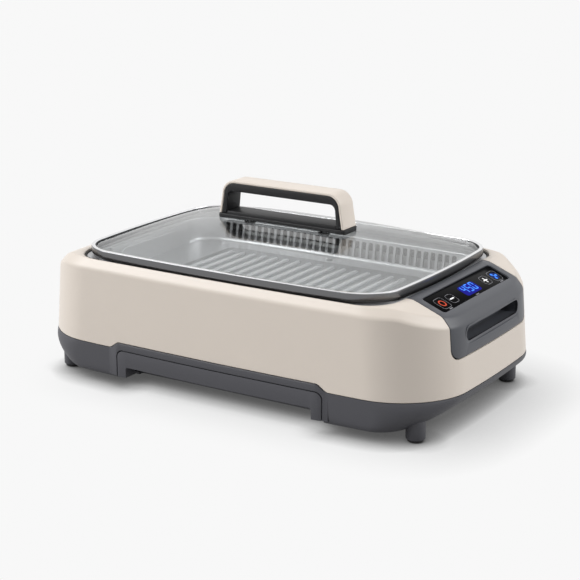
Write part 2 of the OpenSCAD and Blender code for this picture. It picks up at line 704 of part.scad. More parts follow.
// Flat panel on each end wall of the well, and the raised pad on it
panel_y0 = -78;
panel_y1 = 72;
pad_y0 = -66;
pad_y1 = 48;
pad_r = 12;
pad_top = flange_top - 5.5;
function well(off, z) = ring(well_hx + off, well_hy + off, well_r + off, 3, z);
module grill_plate() color(steel) difference() {
    union() {
        loft([well(-draft - 5 + plate_wall, floor_z - floor_t),
            well(plate_wall - draft - 1, floor_z - floor_t + 2),
            well(plate_wall - draft, floor_z + 2), well(plate_wall, plate_z),
            ring(flange_hx, flange_hy, opening_r - 2, opening_bow, plate_z),
            ring(flange_hx, flange_hy, opening_r - 2, opening_bow, flange_top),
            well(1.2, flange_top), well(0, flange_top - 1), well(-draft, floor_z + 4),
            well(-draft - 1, floor_z + 1.4), well(-draft - 4, floor_z)]);
        along_z(floor_z - 1, floor_z + field_h) polygon(rounded(-field_hx - rib_w, -field_hy,
            field_hx + rib_w, field_hy, 12));
        for (i = [0:rib_count - 1]) translate([rib_pitch * (i - (rib_count - 1) / 2), 0, floor_z])
            along_y(rib_y - rib_l / 2, rib_y + rib_l / 2) polygon([[-rib_w / 2, 0], [rib_w / 2, 0],
                [rib_w / 2, field_h], [rib_w / 2 - 1.3, field_h + rib_h],
                [1.3 - rib_w / 2, field_h + rib_h], [-rib_w / 2, field_h]]);
        for (s = [0, 1]) mirror([s, 0, 0]) {
            along_x(well_hx - 4.5, well_hx + 1.5) polygon(concat(
                [[pad_y0, floor_z - 1], [pad_y1, floor_z - 1]],
                [for (a = [0:15:90]) [pad_y1, pad_top] + pad_r * [cos(a) - 1, sin(a) - 1]],
                [for (a = [90:15:180]) [pad_y0, pad_top] + pad_r * [cos(a) + 1, sin(a) - 1]]));
            along_y(panel_y0, panel_y1) polygon([[well_hx - draft - 1.4, floor_z - 1],
                [well_hx + 1.5, floor_z - 1], [well_hx + 1.5, flange_top - 1.2],
                [well_hx - 1.4, flange_top - 1.2]]);
        }
    }
    for (i = [0:slot_count - 1]) translate([slot_pitch * (i - (slot_count - 1) / 2), 0, 0])
        box([-slot_w / 2, well_hy - 12, flange_top - 4.5 - slot_h],
            [slot_w / 2, well_hy + 12, flange_top - 4.5]);
    post(0, drain_y, floor_z - 10, floor_z + 5, 4.5);
}

// Drip tray, drawer front and the rails that they slide in
tray_w = drawer_w - 2 * tray_in;
tray_y0 = -body_hy + 20;
tray_y1 = body_hy - tray_in_y;
rail_t = 2;
tray_z = floor_in + seat + rail_t + seat;
tray_top = tray_z + 22;
bridge_z = tray_top - 9;
module drip_tray() color(steel) {
    hw = tray_w / 2;
    difference() {
        box([-hw, tray_y0, tray_z], [hw, tray_y1, tray_top]);
        box([tray_wall - hw, tray_y0 + tray_wall, tray_z + tray_wall],
            [hw - tray_wall, tray_y1 - tray_wall, tray_top + 1]);
    }
    box([17.5 - hw, -drawer_back - proud + drawer_t + seat, bridge_z], [hw - 17.5, tray_y0 + 1, tray_top]);
}
module drawer_front() color(charcoal) intersection() {
    along_z(base_z + drawer_lift - 1, drawer_top + 1) proud_plan(drawer_x0 - 1, drawer_x1 + 1, seat,
        drawer_back - drawer_t + proud);
    along_y(-body_hy - 20, 0) difference() {
        intersection() {
            polygon(rounded(drawer_x0, -10, drawer_x1, drawer_top, drawer_r));
            translate([drawer_x0, base_z + drawer_lift]) square([drawer_w, 60]);
        }
        polygon(rounded(grip_x0, -10, grip_x1, grip_z, 3));
    }
}
module drawer_rails() color(steel) for (s = [0, 1]) mirror([s, 0, 0]) {
    x0 = tray_w / 2 + seat;
    z0 = floor_in + seat;
    z1 = tray_top + seat + rail_t;
    difference() {
        box([x0 - 7, tray_y0 + 4, z0], [x0 + rail_t, tray_y1 + seat + rail_t, z1]);
        box([x0 - 20, tray_y0, z0 + rail_t], [x0, tray_y1 + seat, z1 - rail_t]);
    }
}

// Centrifugal smoke fan with its housing, wheel, motor and filter
fan_wall = 2;
scroll_r = 43;
duct_end = side_y(duct_x1, fan_z) - 4;
module fan_housing() color(black) difference() {
    union() {
        post(fan_x, fan_y, fan_z, fan_z + fan_h, scroll_r);
        box([duct_x0, fan_y, fan_z], [duct_x1, duct_end, fan_z + fan_h]);
        post(fan_x, fan_y, fan_z, reflector_z - seat, filter_r - 4 + fan_wall);
    }
    post(fan_x, fan_y, fan_z + fan_wall, fan_z + fan_h - fan_wall, scroll_r - fan_wall);
    box([duct_x0 + fan_wall, fan_y, fan_z + fan_wall],
        [duct_x1 - fan_wall, duct_end + 1, fan_z + fan_h - fan_wall]);
    post(fan_x, fan_y, fan_z + 5, reflector_z + 1, filter_r - 4);
    post(fan_x, fan_y, fan_z - 1, fan_z + 5, 5);
}
wheel_z = fan_z + fan_wall + 1;
hub_r = 8;
module fan_wheel() color("gray") translate([fan_x, fan_y, wheel_z]) {
    difference() {
        union() {
            cylinder(r = wheel_r, h = 1.5);
            cylinder(r = hub_r, h = 12);
        }
        translate([0, 0, -1]) cylinder(r = shaft_d / 2 + 0.02, h = 20);
    }
    for (i = [0:blade_count - 1]) rotate([0, 0, 360 * i / blade_count])
        translate([wheel_r - 6.5, 0, 1]) rotate([0, 0, 35]) translate([-4, -0.5, 0])
            cube([8, 1, wheel_h - 2]);
    difference() {
        translate([0, 0, wheel_h - 2]) cylinder(r = wheel_r, h = 1.5);
        translate([0, 0, wheel_h - 3]) cylinder(r = wheel_r - 11, h = 5);
    }
}
module fan_motor() color(steel) difference() {
    union() {
        post(fan_x, fan_y, motor_z, fan_z - seat, 17);
        post(fan_x, fan_y, fan_z - 1, fan_z + 1.5, 4.5);
    }
    post(fan_x, fan_y, motor_z + 3, fan_z + 2, shaft_d / 2 + 0.05);
}
module motor_shaft() color(steel) post(fan_x, fan_y, motor_z + 3.3, wheel_z + 14, shaft_d / 2);
module grease_filter() color(steel) difference() {
    post(fan_x, fan_y, reflector_z + sheet_t + 0.2, reflector_z + sheet_t + 5.2, filter_r);
    for (x = [-18:6:18], y = [-18:6:18]) if (norm([x, y]) < filter_r - 6)
        box([fan_x + x - 2, fan_y + y - 2, reflector_z], [fan_x + x + 2, fan_y + y + 2, reflector_z + 10]);
}

module foot_pads() color(black) corners(foot_x, foot_y)
    rotate_extrude() polygon([[0, 0], [foot_r - 2.8, 0], [foot_r - 1.8, 1], [foot_r - 1.8, foot_gap + 1.4],
        [0, foot_gap + 1.4]]);
module base_screws() color(steel) corners(screw_x, screw_y) {
    post(0, 0, floor_in + 1, seam_z + 20, 1.6);
    post(0, 0, base_z + 0.5, floor_in + 2.2, 4);
}

// Lid: glass dome in a metal rim, with the handle screwed through it
lid_hx = opening_hx - lid_gap;
lid_hy = opening_hy - lid_gap;
function lid_ring(inset, z) = ring(lid_hx - inset, lid_hy - inset, lid_r - inset, lid_bow, z);
rim_foot = flange_top + 0.35;
glass_edge = lid_z - 1.9;
module lid_rim() color("#3a3b3e") loft([for (p = [
    [0, lid_z - rim_band], [0, lid_z - 1.4], [0.5, lid_z - 0.4], [1.4, lid_z], [4.2, lid_z],
    [4.6, lid_z - 0.5], [4.6, lid_z - 1.6], [2, lid_z - 1.6], [2, glass_edge - lid_glass_t - 0.3],
    [5.2, glass_edge - lid_glass_t - 0.3], [5.2, glass_edge - lid_glass_t - 1.3],
    [3.6, glass_edge - lid_glass_t - 1.3], [3.6, rim_foot], [2.2, rim_foot],
    [2.2, lid_z - rim_band]]) lid_ring(p.x, p.y)], round = true);

// Rise of the glass over its edge, flat across the crown and steeper at the rim
dome_hx = lid_hx + lid_bow - 9;
dome_hy = lid_hy + lid_bow - 8.5;
function dome(x, y) = dome_h * (1 - pow(min(1, abs(x) / dome_hx), 3.5))
    * (1 - pow(min(1, abs(y) / dome_hy), 2.5));
function dome_ring(inset, shrink, z) = [for (p = lid_ring(inset, z))
    [p.x * shrink, p.y * shrink, p.z + (shrink < 1 ? dome(p.x * shrink, p.y * shrink) : 0)]];
module lid_glass() color([0.7, 0.75, 0.78, 0.4]) {
    steps = [1, 0.93, 0.85, 0.74, 0.6, 0.42, 0.2];
    difference() {
        loft(concat(
            [for (i = [len(steps) - 1:-1:0]) dome_ring(6.4, steps[i], glass_edge - lid_glass_t)],
            [dome_ring(2.3, 1, glass_edge - lid_glass_t), dome_ring(2.3, 1, glass_edge)],
            [for (s = steps) dome_ring(6.4, s, glass_edge)]));
        handle_screw_places() post(0, 0, lid_z, lid_z + 60, 3);
    }
}
module handle_screw_places() for (s = [-1, 1]) translate([s * handle_screw_x, 0, 0]) children();

crown = glass_edge + dome_h;
handle_top = crown + handle_h;
foot_top = crown + handle_foot;
// Side view of an arch: straight legs that lean in, joined by rounded corners
function arch(half, lean_in, z0, z1, r, down = 0) = concat(
    down > 0 ? [[half, z0 - down]] : [], [[half, z0]],
    [for (a = [0:10:90]) [half - lean_in - r + r * cos(a), z1 - r + r * sin(a)]],
    [for (a = [90:10:180]) [-half + lean_in + r + r * cos(a), z1 - r + r * sin(a)]],
    [[-half, z0]], down > 0 ? [[-half, z0 - down]] : []);
cap_half = handle_l / 2 - handle_ledge;
cap_hw = handle_w / 2 - handle_ledge;
arch_half = cap_half - cap_t - 0.15;
arch_top = handle_top - cap_t - 0.15;
module handle_base() color(black) {
    n = 24;
    h = handle_l / 2;
    difference() {
        union() {
            intersection() {
                along_y(-handle_w / 2, handle_w / 2) polygon(concat(
                    [for (i = [0:n]) let (x = -h + 2 * h * i / n) [x, glass_edge + dome(x, 0) + 0.1]],
                    [[h, foot_top], [-h, foot_top]]));
                along_z(glass_edge, foot_top + 1) polygon(rounded(-h, -handle_w / 2, h, handle_w / 2, 5));
            }
            along_y(-cap_hw + 0.8, cap_hw - 0.8) polygon([[-h + 20, foot_top - 1], [h - 20, foot_top - 1],
                [arch_half - leg_t - 0.4, foot_top], [arch_half - leg_t - 0.8, foot_top + handle_rise],
                [leg_t - arch_half + 0.8, foot_top + handle_rise], [leg_t - arch_half + 0.4, foot_top]]);
        }
        handle_screw_places() post(0, 0, crown - 5, foot_top + 2, 2.6);
    }
}
module handle_arch() color(black) along_y(-cap_hw + 0.4, cap_hw - 0.4) difference() {
    polygon(arch(arch_half, 3.6, foot_top + 0.1, arch_top, 14));
    polygon(arch(arch_half - leg_t, 2, foot_top + 0.1, arch_top - arch_t, 7, 5));
}
module handle_cap() color(cream) along_y(-cap_hw, cap_hw) difference() {
    polygon(arch(cap_half, 4, foot_top + 0.1, handle_top, 17));
    polygon(arch(arch_half + 0.15, 3.6, foot_top + 0.1, arch_top + 0.15, 14.15, 5));
}
screw_head_z = crown - lid_glass_t - 1;
module handle_screws() color(steel) handle_screw_places() {
    post(0, 0, screw_head_z - 2, foot_top + 1.5, 2.4);
    post(0, 0, screw_head_z - 4.2, screw_head_z - 1.2, 5.5);
}
module handle_washers() color(black) handle_screw_places() difference() {
    post(0, 0, screw_head_z - 1.1, screw_head_z, 7);
    post(0, 0, screw_head_z - 2, screw_head_z + 1, 2.6);
}

upper_shell();
base_pan();
control_fascia();
left_grip_panel();
touch_glass();
touch_board();
display_module();
power_board();
board_parts();
board_screws();
power_inlet();
inlet_pins();
mains_leads();
exhaust_grille();
support_ring();
heat_reflector();
reflector_posts();
heating_element();
element_bushings();
element_clips();
heater_leads();
thermal_cutout();
grill_plate();
drip_tray();
drawer_front();
drawer_rails();
fan_housing();
fan_wheel();
fan_motor();
motor_shaft();
grease_filter();
foot_pads();
base_screws();
lid_glass();
lid_rim();
handle_base();
handle_arch();
handle_cap();
handle_screws();
handle_washers();
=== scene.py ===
from math import cos, pi, radians, sin, tan

import bmesh
import bpy
import numpy as np
from bpy.props import FloatProperty, FloatVectorProperty, IntProperty, PointerProperty
from mathutils import Matrix, Vector


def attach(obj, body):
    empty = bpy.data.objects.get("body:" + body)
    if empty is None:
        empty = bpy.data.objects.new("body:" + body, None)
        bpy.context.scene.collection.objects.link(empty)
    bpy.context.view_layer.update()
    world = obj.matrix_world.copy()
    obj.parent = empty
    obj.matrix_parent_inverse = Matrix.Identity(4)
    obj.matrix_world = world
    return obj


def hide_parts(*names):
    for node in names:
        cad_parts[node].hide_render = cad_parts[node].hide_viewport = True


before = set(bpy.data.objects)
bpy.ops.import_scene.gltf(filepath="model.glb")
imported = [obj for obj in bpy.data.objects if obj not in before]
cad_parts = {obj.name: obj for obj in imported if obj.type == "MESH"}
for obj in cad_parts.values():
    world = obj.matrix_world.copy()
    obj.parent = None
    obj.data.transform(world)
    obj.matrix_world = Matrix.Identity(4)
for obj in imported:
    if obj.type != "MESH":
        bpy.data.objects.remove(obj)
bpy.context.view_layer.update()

bl_info = {
    "name": "Indoor grill with glass lid",
    "version": (1, 0, 0),
    "blender": (4, 5, 0),
    "location": "3D View > Sidebar > Grill",
    "description": "Dresses the CAD model of an electric indoor grill with a lift-off glass lid",
    "category": "Object",
}

MM = 0.001

# Sizes of the CAD model, in millimetres: the shell and its opening
BODY_HX, BODY_HY, BOW, CORNER_R = 260.0, 143.7, 6.5, 74.6
SEAM_Z, RIM_Z, WALL = 46.9, 144.7, 2.6
END_DRAFT, SIDE_DRAFT, BEVEL_X, BEVEL_Y, BEVEL_Z = 5.8, 0.7, 6.7, 5.5, 9.7
KNEE_X, KNEE_R, SLOPE_A = 209.0, 5.0, 22.6
OPEN_HX, OPEN_HY, OPEN_R, OPEN_BOW, LIP_H = 200.8, 138.2, 34.9, 3.3, 14.0
SEAM_GAP, WALL_CUT = 0.3, 12.0
DUCT_X, DUCT_HW, DUCT_Z, DUCT_H = -141.0, 17.5, 49.5, 29.0
INLET_X, INLET_HW, INLET_Z, INLET_H = 150.0, 15.3, 53.7, 24.6
# Base and feet
BASE_Z, END_IN, END_CURVE, SIDE_IN, SIDE_CURVE, UNDER_R = 12.0, 43.0, 1.75, 2.5, 12, 30.0
FOOT_X, FOOT_Y, FOOT_R, FOOT_GAP, LEG_TOP = 229.0, 112.0, 10.5, 3.0, 30.0
VENT_X, VENT_PITCH, VENT_W, VENT_L, VENT_H, VENT_COUNT = 144.0, 10.0, 4.0, 80.0, 25.0, 7
# Drip drawer and the surround that stands proud of the front
DRAWER_W, DRAWER_SHIFT, DRAWER_TOP, DRAWER_R, DRAWER_T, DRAWER_LIFT = 269.0, 3.0, 46.0, 8.0, 5.0, 3.0
GRIP_W, GRIP_Z, GRIP_R = 245.0, 27.5, 3.0
DRAWER_CUT, GRIP_CUT = 18.0, 24.0
SURROUND_W, SURROUND_STEP, SURROUND_TOP, SURROUND_D, PROUD = 258.0, 16.0, 54.6, 6.0, 2.5
# Control panel and carry recesses
FASCIA_W, FASCIA_Z, FASCIA_R = 180.0, 86.0, 12.0
GLASS_L, GLASS_W, GLASS_T, GLASS_OFF, GLASS_R = 160.0, 28.8, 1.6, 6.9, 4.0
RECESS_L, RECESS_H, RECESS_Z, RECESS_D, RECESS_CUT = 127.0, 15.0, 107.3, 20.0, 25.0
LEFT_W, LEFT_BELOW, LEFT_ABOVE, LEFT_R = 152.0, 13.0, 5.0, 7.0
PANEL_GAP, PANEL_REVEAL = 0.3, 0.9
# Grill plate and the ring that carries it
FLANGE_HX, FLANGE_HY, FLANGE_T, PLATE_GAP = 198.4, 135.8, 2.0, 0.3
WELL_HX, WELL_HY, WELL_R, WELL_BOW, WELL_DRAFT = 194.0, 112.0, 30.0, 3.0, 3.5
FLOOR_Z, FLOOR_T, FLOOR_R, PLATE_WALL = 114.0, 4.0, 5.0, 2.6
FIELD_HX, FIELD_HY, FIELD_R, FIELD_H, RIB_Y, RIB_L = 135.0, 84.0, 12.0, 1.0, -8.0, 146.0
DRAIN_Y, DRAIN_R = 97.0, 4.5
RING_Z, RING_T, RING_SKIRT, RING_WALL, RING_DROP = 139.7, 2.5, 18.7, 2.5, 1.9
# Lid and handle
LID_HX, LID_HY, LID_R, LID_BOW, LID_Z, RIM_BAND = 196.5, 133.9, 40.8, 6.6, 154.6, 8.4
DOME_H, LID_GLASS_T, GLASS_IN, DOME_IN = 27.7, 4.0, 2.3, 6.4
RIM_UNDER_R, RIM_OUTER_R, RIM_INNER_R, RIM_T, RIM_OVER = 0.6, 1.3, 0.8, 1.6, 1.9
RIM_FOLD, RIM_SKIRT, RIM_TOP, RIM_SHELF = 2.0, 3.6, 4.5, 5.2
HANDLE_L, HANDLE_W, HANDLE_H, HANDLE_R = 169.6, 31.6, 43.6, 5.0
HANDLE_FOOT, HANDLE_RISE, HANDLE_LEDGE, HANDLE_GAP = 4.0, 3.3, 1.6, 0.15
CAP_T, CAP_R, CAP_LEAN = 3.0, 17.0, 4.0
ARCH_T, ARCH_R, ARCH_LEAN, LEG_T, LEG_LEAN = 9.5, 14.0, 3.6, 6.5, 2.0

CREASE_R = CORNER_R + 1.0
CREST_R = CREASE_R
SLOPE = tan(radians(SLOPE_A))
PLATE_SEAT = RING_Z + PLATE_GAP
FLANGE_TOP = PLATE_SEAT + FLANGE_T
GLASS_EDGE = LID_Z - RIM_OVER
CROWN = GLASS_EDGE + DOME_H
FOOT_TOP = CROWN + HANDLE_FOOT
HANDLE_TOP = CROWN + HANDLE_H
FLOOR_IN = BASE_Z + WALL

# Forms that the scene adds, in millimetres
SEAM_ROUND = 0.9
MOUTH_IN, MOUTH_DOWN = 1.2, 1.4
WELL_MOUTH = 1.6
REBATE, REBATE_D = 3.2, 1.5
GLASS_SEAM = 0.45
SLOT_DROP, SLOT_H, SLOT_R = 4.5, 19.0, 1.4
# Towards a rib's end: distance from the end and share of the full height
RIB_ENDS = ((0.0, 0.05), (0.6, 0.45), (1.8, 0.8), (4.0, 1.0))
PAD_FRONT, PAD_BACK, PAD_R, PAD_DEPTH = -66.0, 48.0, 12.0, 4.5
SIDE_FRONT, SIDE_BACK = -78.0, 72.0

# Cutting solids reach this far past the body and the handle, and down to this height
REACH, HANDLE_CUT, BELOW = 20.0, 5.0, -10.0

# Signs on the touch glass: x is measured down the slope from its top edge, y runs to the back
SIGN_LOW, SIGN_STEP, SIGN_HIGH = 0.12, 0.14, 0.16
DISPLAY_X, DISPLAY_L, DISPLAY_HW, DISPLAY_Y, DISPLAY_R = 14.6, 16.0, 17.5, 4.0, 3.5
DIGITS = ("fgbc", "afgcd", "abcdef")
DIGIT_Y, DIGIT_PITCH, DIGIT_W, DIGIT_H, DIGIT_T = -9.1, 10.0, 7.6, 13.0, 1.8
# Each key: x, y and half its width
KEYS = {"power": (23.0, -61.2, 8.8), "less": (23.2, -39.4, 7.2), "more": (22.6, 43.3, 7.4),
        "fan": (23.2, 65.4, 8.6)}
KEY_R, KEY_LINE = 4.4, 0.5
POWER_R, POWER_IN = 5.0, 3.4
LESS_T, MORE_T, MARK_L = 0.8, 0.7, 4.2
FAN_FIELD, FAN_FIELD_W, FAN_FIELD_R, FAN_HUB = 5.4, 6.0, 4.0, 1.1
VANE = ((1.4, -0.5), (3.2, -0.45), (5.6, -0.2), (5.8, 0.2), (4.6, 0.5), (2.6, 0.45), (1.4, 0.5))
NOTES = {"power": -60.0, "display": 3.0, "fan": 64.0}
NOTE_X, NOTE_T, NOTE_L = 33.6, 0.7, 3.4

# Camera of the photograph, in metres and degrees
CAMERA_AT = (0.9141, -1.4405, 0.5912)
CAMERA_AZ, CAMERA_EL = 32.27, 16.06
CAMERA_LENS, CAMERA_SENSOR = 95.49, 36.0

# Stage: the pale tone of floor and backdrop, and the floor's size in millimetres
PALE, FLOOR_BOUNCE, SKY = 0.938, 0.3, 0.30
FLOOR_HALF, FLOOR_DROP = 9000.0, -0.2
# Each shadow: its reach in metres, its strength and the way that the floor looks for it
SHADOWS = ((0.028, 1.2, (-0.25, 0.0, 0.97)), (0.09, 0.45, (-0.8, -0.2, 0.55)))
# Each lamp: its name, the way to it and its strength
LAMPS = (("key_left", (-0.66, -0.53, 0.53), 2.5), ("fill_right", (0.75, 0.35, 0.56), 1.8))
LAMP_ANGLE = 40.0


# Shapes


def ease(t):
    u = min(1.0, max(0.0, t))
    return u * u * (3 - 2 * u)


def outline(hx, hy, r, corner=20, end=10, side=24):
    """Points of a rounded rectangle, counter-clockwise from the front right corner."""
    points = []
    for k in range(4):
        sx, sy = (1, 1, -1, -1)[k], (-1, 1, 1, -1)[k]
        nx, ny = (1, -1, -1, 1)[k], (1, 1, -1, -1)[k]
        centre = np.array([sx * (hx - r), sy * (hy - r)])
        start = radians(90 * k)
        way = np.array([cos(start), sin(start)])
        p, q = centre + r * way, np.array([nx * (hx - r), ny * (hy - r)]) + r * way
        for i in range(corner + 1):
            a = start - pi / 2 + pi / 2 * i / corner
            points.append(centre + r * np.array([cos(a), sin(a)]))
        n = end if k % 2 == 0 else side
        points += [p + (q - p) * i / (n + 1) for i in range(1, n + 1)]
    return np.array(points)


def bowed(o, hx, hy, b):
    """An outline whose sides bow out at their middles."""
    x, y = o[:, 0], o[:, 1]
    return np.stack([
        x + np.sign(x) * b * (1 - (y / hy) ** 2) * np.abs(x / hx),
        y + np.sign(y) * b * (1 - (x / hx) ** 2) * np.abs(y / hy)], 1)


def ring(hx, hy, r, b, z):
    o = bowed(outline(hx, hy, r), hx, hy, b)
    return np.column_stack([o, np.full(len(o), z)])


def top_height(x):
    """Height of the top of the shell at a distance from the middle."""
    d = np.abs(x) - KNEE_X
    bent = SLOPE * (d + KNEE_R) ** 2 / (4 * KNEE_R)
    return RIM_Z - np.where(d < -KNEE_R, 0, np.where(d < KNEE_R, bent, SLOPE * d))


def hung_ring(hx, hy, r, b, reference, lift):
    o = bowed(outline(hx, hy, r), hx, hy, b)
    return np.column_stack([o, top_height(reference[:, 0]) + lift])


def top_ring(hx, hy, r, b, lift):
    return hung_ring(hx, hy, r, b, outline(hx, hy, r), lift)


def bend(a, b, c, t):
    return (1 - t) ** 2 * a + 2 * t * (1 - t) * b + t * t * c


def arc(cx, cy, r, a0, a1, n=5):
    """Points of an arc between two angles in degrees."""
    angles = [radians(a0 + (a1 - a0) * i / n) for i in range(n + 1)]
    return [(cx + r * cos(a), cy + r * sin(a)) for a in angles]


def circle(cx, cy, r, n=32):
    return arc(cx, cy, r, 0, 360, n)[:n]


def box(x0, y0, x1, y1):
    return [(x0, y0), (x1, y0), (x1, y1), (x0, y1)]


def rounded(x0, y0, x1, y1, r, steps=8):
    """Points of a rounded rectangle between two corners."""
    points = []
    for k in range(4):
        cx = x0 + r if k in (1, 2) else x1 - r
        cy = y1 - r if k < 2 else y0 + r
        points += arc(cx, cy, r, 90 * k, 90 * k + 90, steps)
    return points


def lean(z):
    return (z - SEAM_Z) / (RIM_Z - BEVEL_Z - SEAM_Z)


def end_x(y, z):
    return BODY_HX - END_DRAFT * lean(z) + BOW * (1 - (y / BODY_HY) ** 2)


def side_y(x, z):
    return BODY_HY - SIDE_DRAFT * lean(z) + BOW * (1 - (x / BODY_HX) ** 2)


# Meshes


def linked(name, data):
    """A new object of the scene."""
    obj = bpy.data.objects.new(name, data)
    bpy.context.collection.objects.link(obj)
    return obj


def new_object(name, vertices, faces):
    """A mesh object from points in millimetres."""
    mesh = bpy.data.meshes.new(name)
    mesh.from_pydata([tuple(float(c) * MM for c in v) for v in vertices], [], faces)
    return linked(name, mesh)


def outward(obj, merge=0.0):
    """Turns every face of a closed mesh to point outwards, after its doubles are merged."""
    work = bmesh.new()
    work.from_mesh(obj.data)
    if merge:
        bmesh.ops.remove_doubles(work, verts=work.verts, dist=merge)
    bmesh.ops.recalc_face_normals(work, faces=work.faces)
    work.to_mesh(obj.data)
    work.free()
    return obj


def loft(name, rings, closed=False):
    """A skin through rings of points, with flat ends or joined round on itself."""
    n, m = len(rings[0]), len(rings)
    faces = []
    for i in range(m if closed else m - 1):
        low, high = i * n, (i + 1) % m * n
        faces += [(low + j, low + (j + 1) % n, high + (j + 1) % n, high + j) for j in range(n)]
    if not closed:
        faces += [tuple(range(n - 1, -1, -1)), tuple((m - 1) * n + j for j in range(n))]
    return outward(new_object(name, np.concatenate(rings), faces))


def prism(name, points, axis, low, high):
    """A flat outline drawn out along an axis: x takes (y, z), y takes (x, z) and z takes (x, y)."""
    def place(p, d):
        return {"x": (d, p[0], p[1]), "y": (p[0], d, p[1]), "z": (p[0], p[1], d)}[axis]
    n = len(points)
    vertices = [place(p, low) for p in points] + [place(p, high) for p in points]
    faces = [(j, (j + 1) % n, n + (j + 1) % n, n + j) for j in range(n)]
    faces += [tuple(range(n - 1, -1, -1)), tuple(n + j for j in range(n))]
    return outward(new_object(name, vertices, faces))


def block(name, a, b):
    return prism(name, box(*a[:2], *b[:2]), "z", a[2], b[2])


def turned(name, profile, centre=(0, 0), steps=48):
    """A profile of (radius, height) turned about an upright axis."""
    vertices, faces = [], []
    n = len(profile)
    for k in range(steps):
        a = 2 * pi * k / steps
        vertices += [(centre[0] + r * cos(a), centre[1] + r * sin(a), z) for r, z in profile]
    for k in range(steps):
        low, high = k * n, (k + 1) % steps * n
        faces += [(low + j, high + j, high + j + 1, low + j + 1) for j in range(n - 1)]
    return outward(new_object(name, vertices, faces), 1e-6)


def moved(obj, matrix):
    obj.data.transform(matrix)
    return obj


def bake(obj):
    """Turns an object's modifiers into its own mesh."""
    depsgraph = bpy.context.evaluated_depsgraph_get()
    mesh = bpy.data.meshes.new_from_object(obj.evaluated_get(depsgraph), depsgraph=depsgraph)
    obj.modifiers.clear()
    obj.data = mesh
    return obj


def carve(obj, cutters, operation="DIFFERENCE"):
    """Cuts other closed objects from obj, or joins or keeps what they share, and removes them."""
    for cutter in cutters:
        change = obj.modifiers.new("cut", "BOOLEAN")
        change.operation = operation
        change.solver = "EXACT"
        change.object = cutter
        bake(obj)
        bpy.data.objects.remove(cutter)
    if not len(obj.data.polygons):
        raise RuntimeError(f"{obj.name} is empty after a cut")
    return obj


def joined(name, objects):
    """Several objects as one, without merging their surfaces."""
    work = bmesh.new()
    for obj in objects:
        work.from_mesh(obj.data)
        bpy.data.objects.remove(obj)
    mesh = bpy.data.meshes.new(name)
    work.to_mesh(mesh)
    work.free()
    return linked(name, mesh)


def soften(obj, width, segments=2, angle=40):
    """Rounds an object's sharp edges by a width in millimetres."""
    change = obj.modifiers.new("edges", "BEVEL")
    change.width = width * MM
    change.segments = segments
    change.limit_method = "ANGLE"
    change.angle_limit = radians(angle)
    change.use_clamp_overlap = True
    change.harden_normals = False
    return bake(obj)


def smooth(obj, angle=32):
    obj.data.shade_smooth()
    obj.data.set_sharp_from_angle(angle=radians(angle))
    return obj


def finish(obj, body, material, nodes=(), angle=32):
    """Shades a piece, gives it its material and sets what it rides on and stands for."""
    smooth(obj, angle)
    obj.data.materials.clear()
    obj.data.materials.append(material)
    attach(obj, body)
    if nodes:
        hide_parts(*nodes)
    return obj


def weigh(obj):
    """Lets an object's large faces set the shading along their edges."""
    change = obj.modifiers.new("normals", "WEIGHTED_NORMAL")
    change.keep_sharp = True


# Node trees


def feed(tree, node, inputs):
    """Gives a node's inputs values or other nodes' outputs."""
    for key, value in inputs.items():
        if isinstance(value, bpy.types.NodeSocket):
            tree.links.new(value, node.inputs[key])
        else:
            node.inputs[key].default_value = value


def add(tree, kind, inputs, **settings):
    """A new node with its settings and inputs."""
    node = tree.nodes.new(kind)
    for key, value in settings.items():
        setattr(node, key, value)
    feed(tree, node, inputs)
    return node


def calculate(tree, operation, a, b):
    """The outcome of a sum on two values or outputs."""
    return add(tree, "ShaderNodeMath", {0: a, 1: b}, operation=operation).outputs[0]


def repeat_tree():
    """A node tree that copies a mesh along a line, with named inputs."""
    tree = bpy.data.node_groups.new("repeat_line", "GeometryNodeTree")
    for name, kind in (("Geometry", "Geometry"), ("Count", "Int"), ("Start", "Vector"),
                       ("Step", "Vector"), ("Material", "Material")):
        tree.interface.new_socket(name, in_out="INPUT", socket_type=f"NodeSocket{kind}")
    tree.interface.new_socket("Geometry", in_out="OUTPUT", socket_type="NodeSocketGeometry")
    given = add(tree, "NodeGroupInput", {}).outputs
    points = add(tree, "GeometryNodeMeshLine", {
        "Count": given["Count"], "Start Location": given["Start"], "Offset": given["Step"]},
        mode="OFFSET")
    copies = add(tree, "GeometryNodeInstanceOnPoints", {
        "Points": points.outputs["Mesh"], "Instance": given["Geometry"]})
    real = add(tree, "GeometryNodeRealizeInstances", {"Geometry": copies.outputs["Instances"]})
    paint = add(tree, "GeometryNodeSetMaterial", {
        "Geometry": real.outputs["Geometry"], "Material": given["Material"]})
    add(tree, "NodeGroupOutput", {"Geometry": paint.outputs["Geometry"]})
    return tree


def repeat(obj, count, pitch, z, material):
    """Copies obj in a row along x that is centred on the middle, raised by z, in millimetres."""
    tree = bpy.data.node_groups.get("repeat_line") or repeat_tree()
    change = obj.modifiers.new("repeat", "NODES")
    change.node_group = tree
    values = {"Count": count, "Start": (-pitch * (count - 1) / 2 * MM, 0.0, z * MM),
              "Step": (pitch * MM, 0.0, 0.0), "Material": material}
    for item in tree.interface.items_tree:
        if item.in_out == "INPUT" and item.name in values:
            change[item.identifier] = values[item.name]
    return bake(obj)


# Finishes


def material_tree(name):
    """A new material and its nodes, or one that was made before."""
    name = f"grill_{name}"
    material = bpy.data.materials.get(name)
    if material:
        return material, None
    material = bpy.data.materials.new(name)
    material.use_nodes = True
    return material, material.node_tree


def noise(tree, scale, place=None, detail=2):
    """Soft noise over a place, or over a piece's own coordinates."""
    if place is None:
        place = add(tree, "ShaderNodeTexCoord", {}).outputs["Object"]
    return add(tree, "ShaderNodeTexNoise", {
        "Vector": place, "Scale": scale, "Detail": detail}).outputs["Fac"]


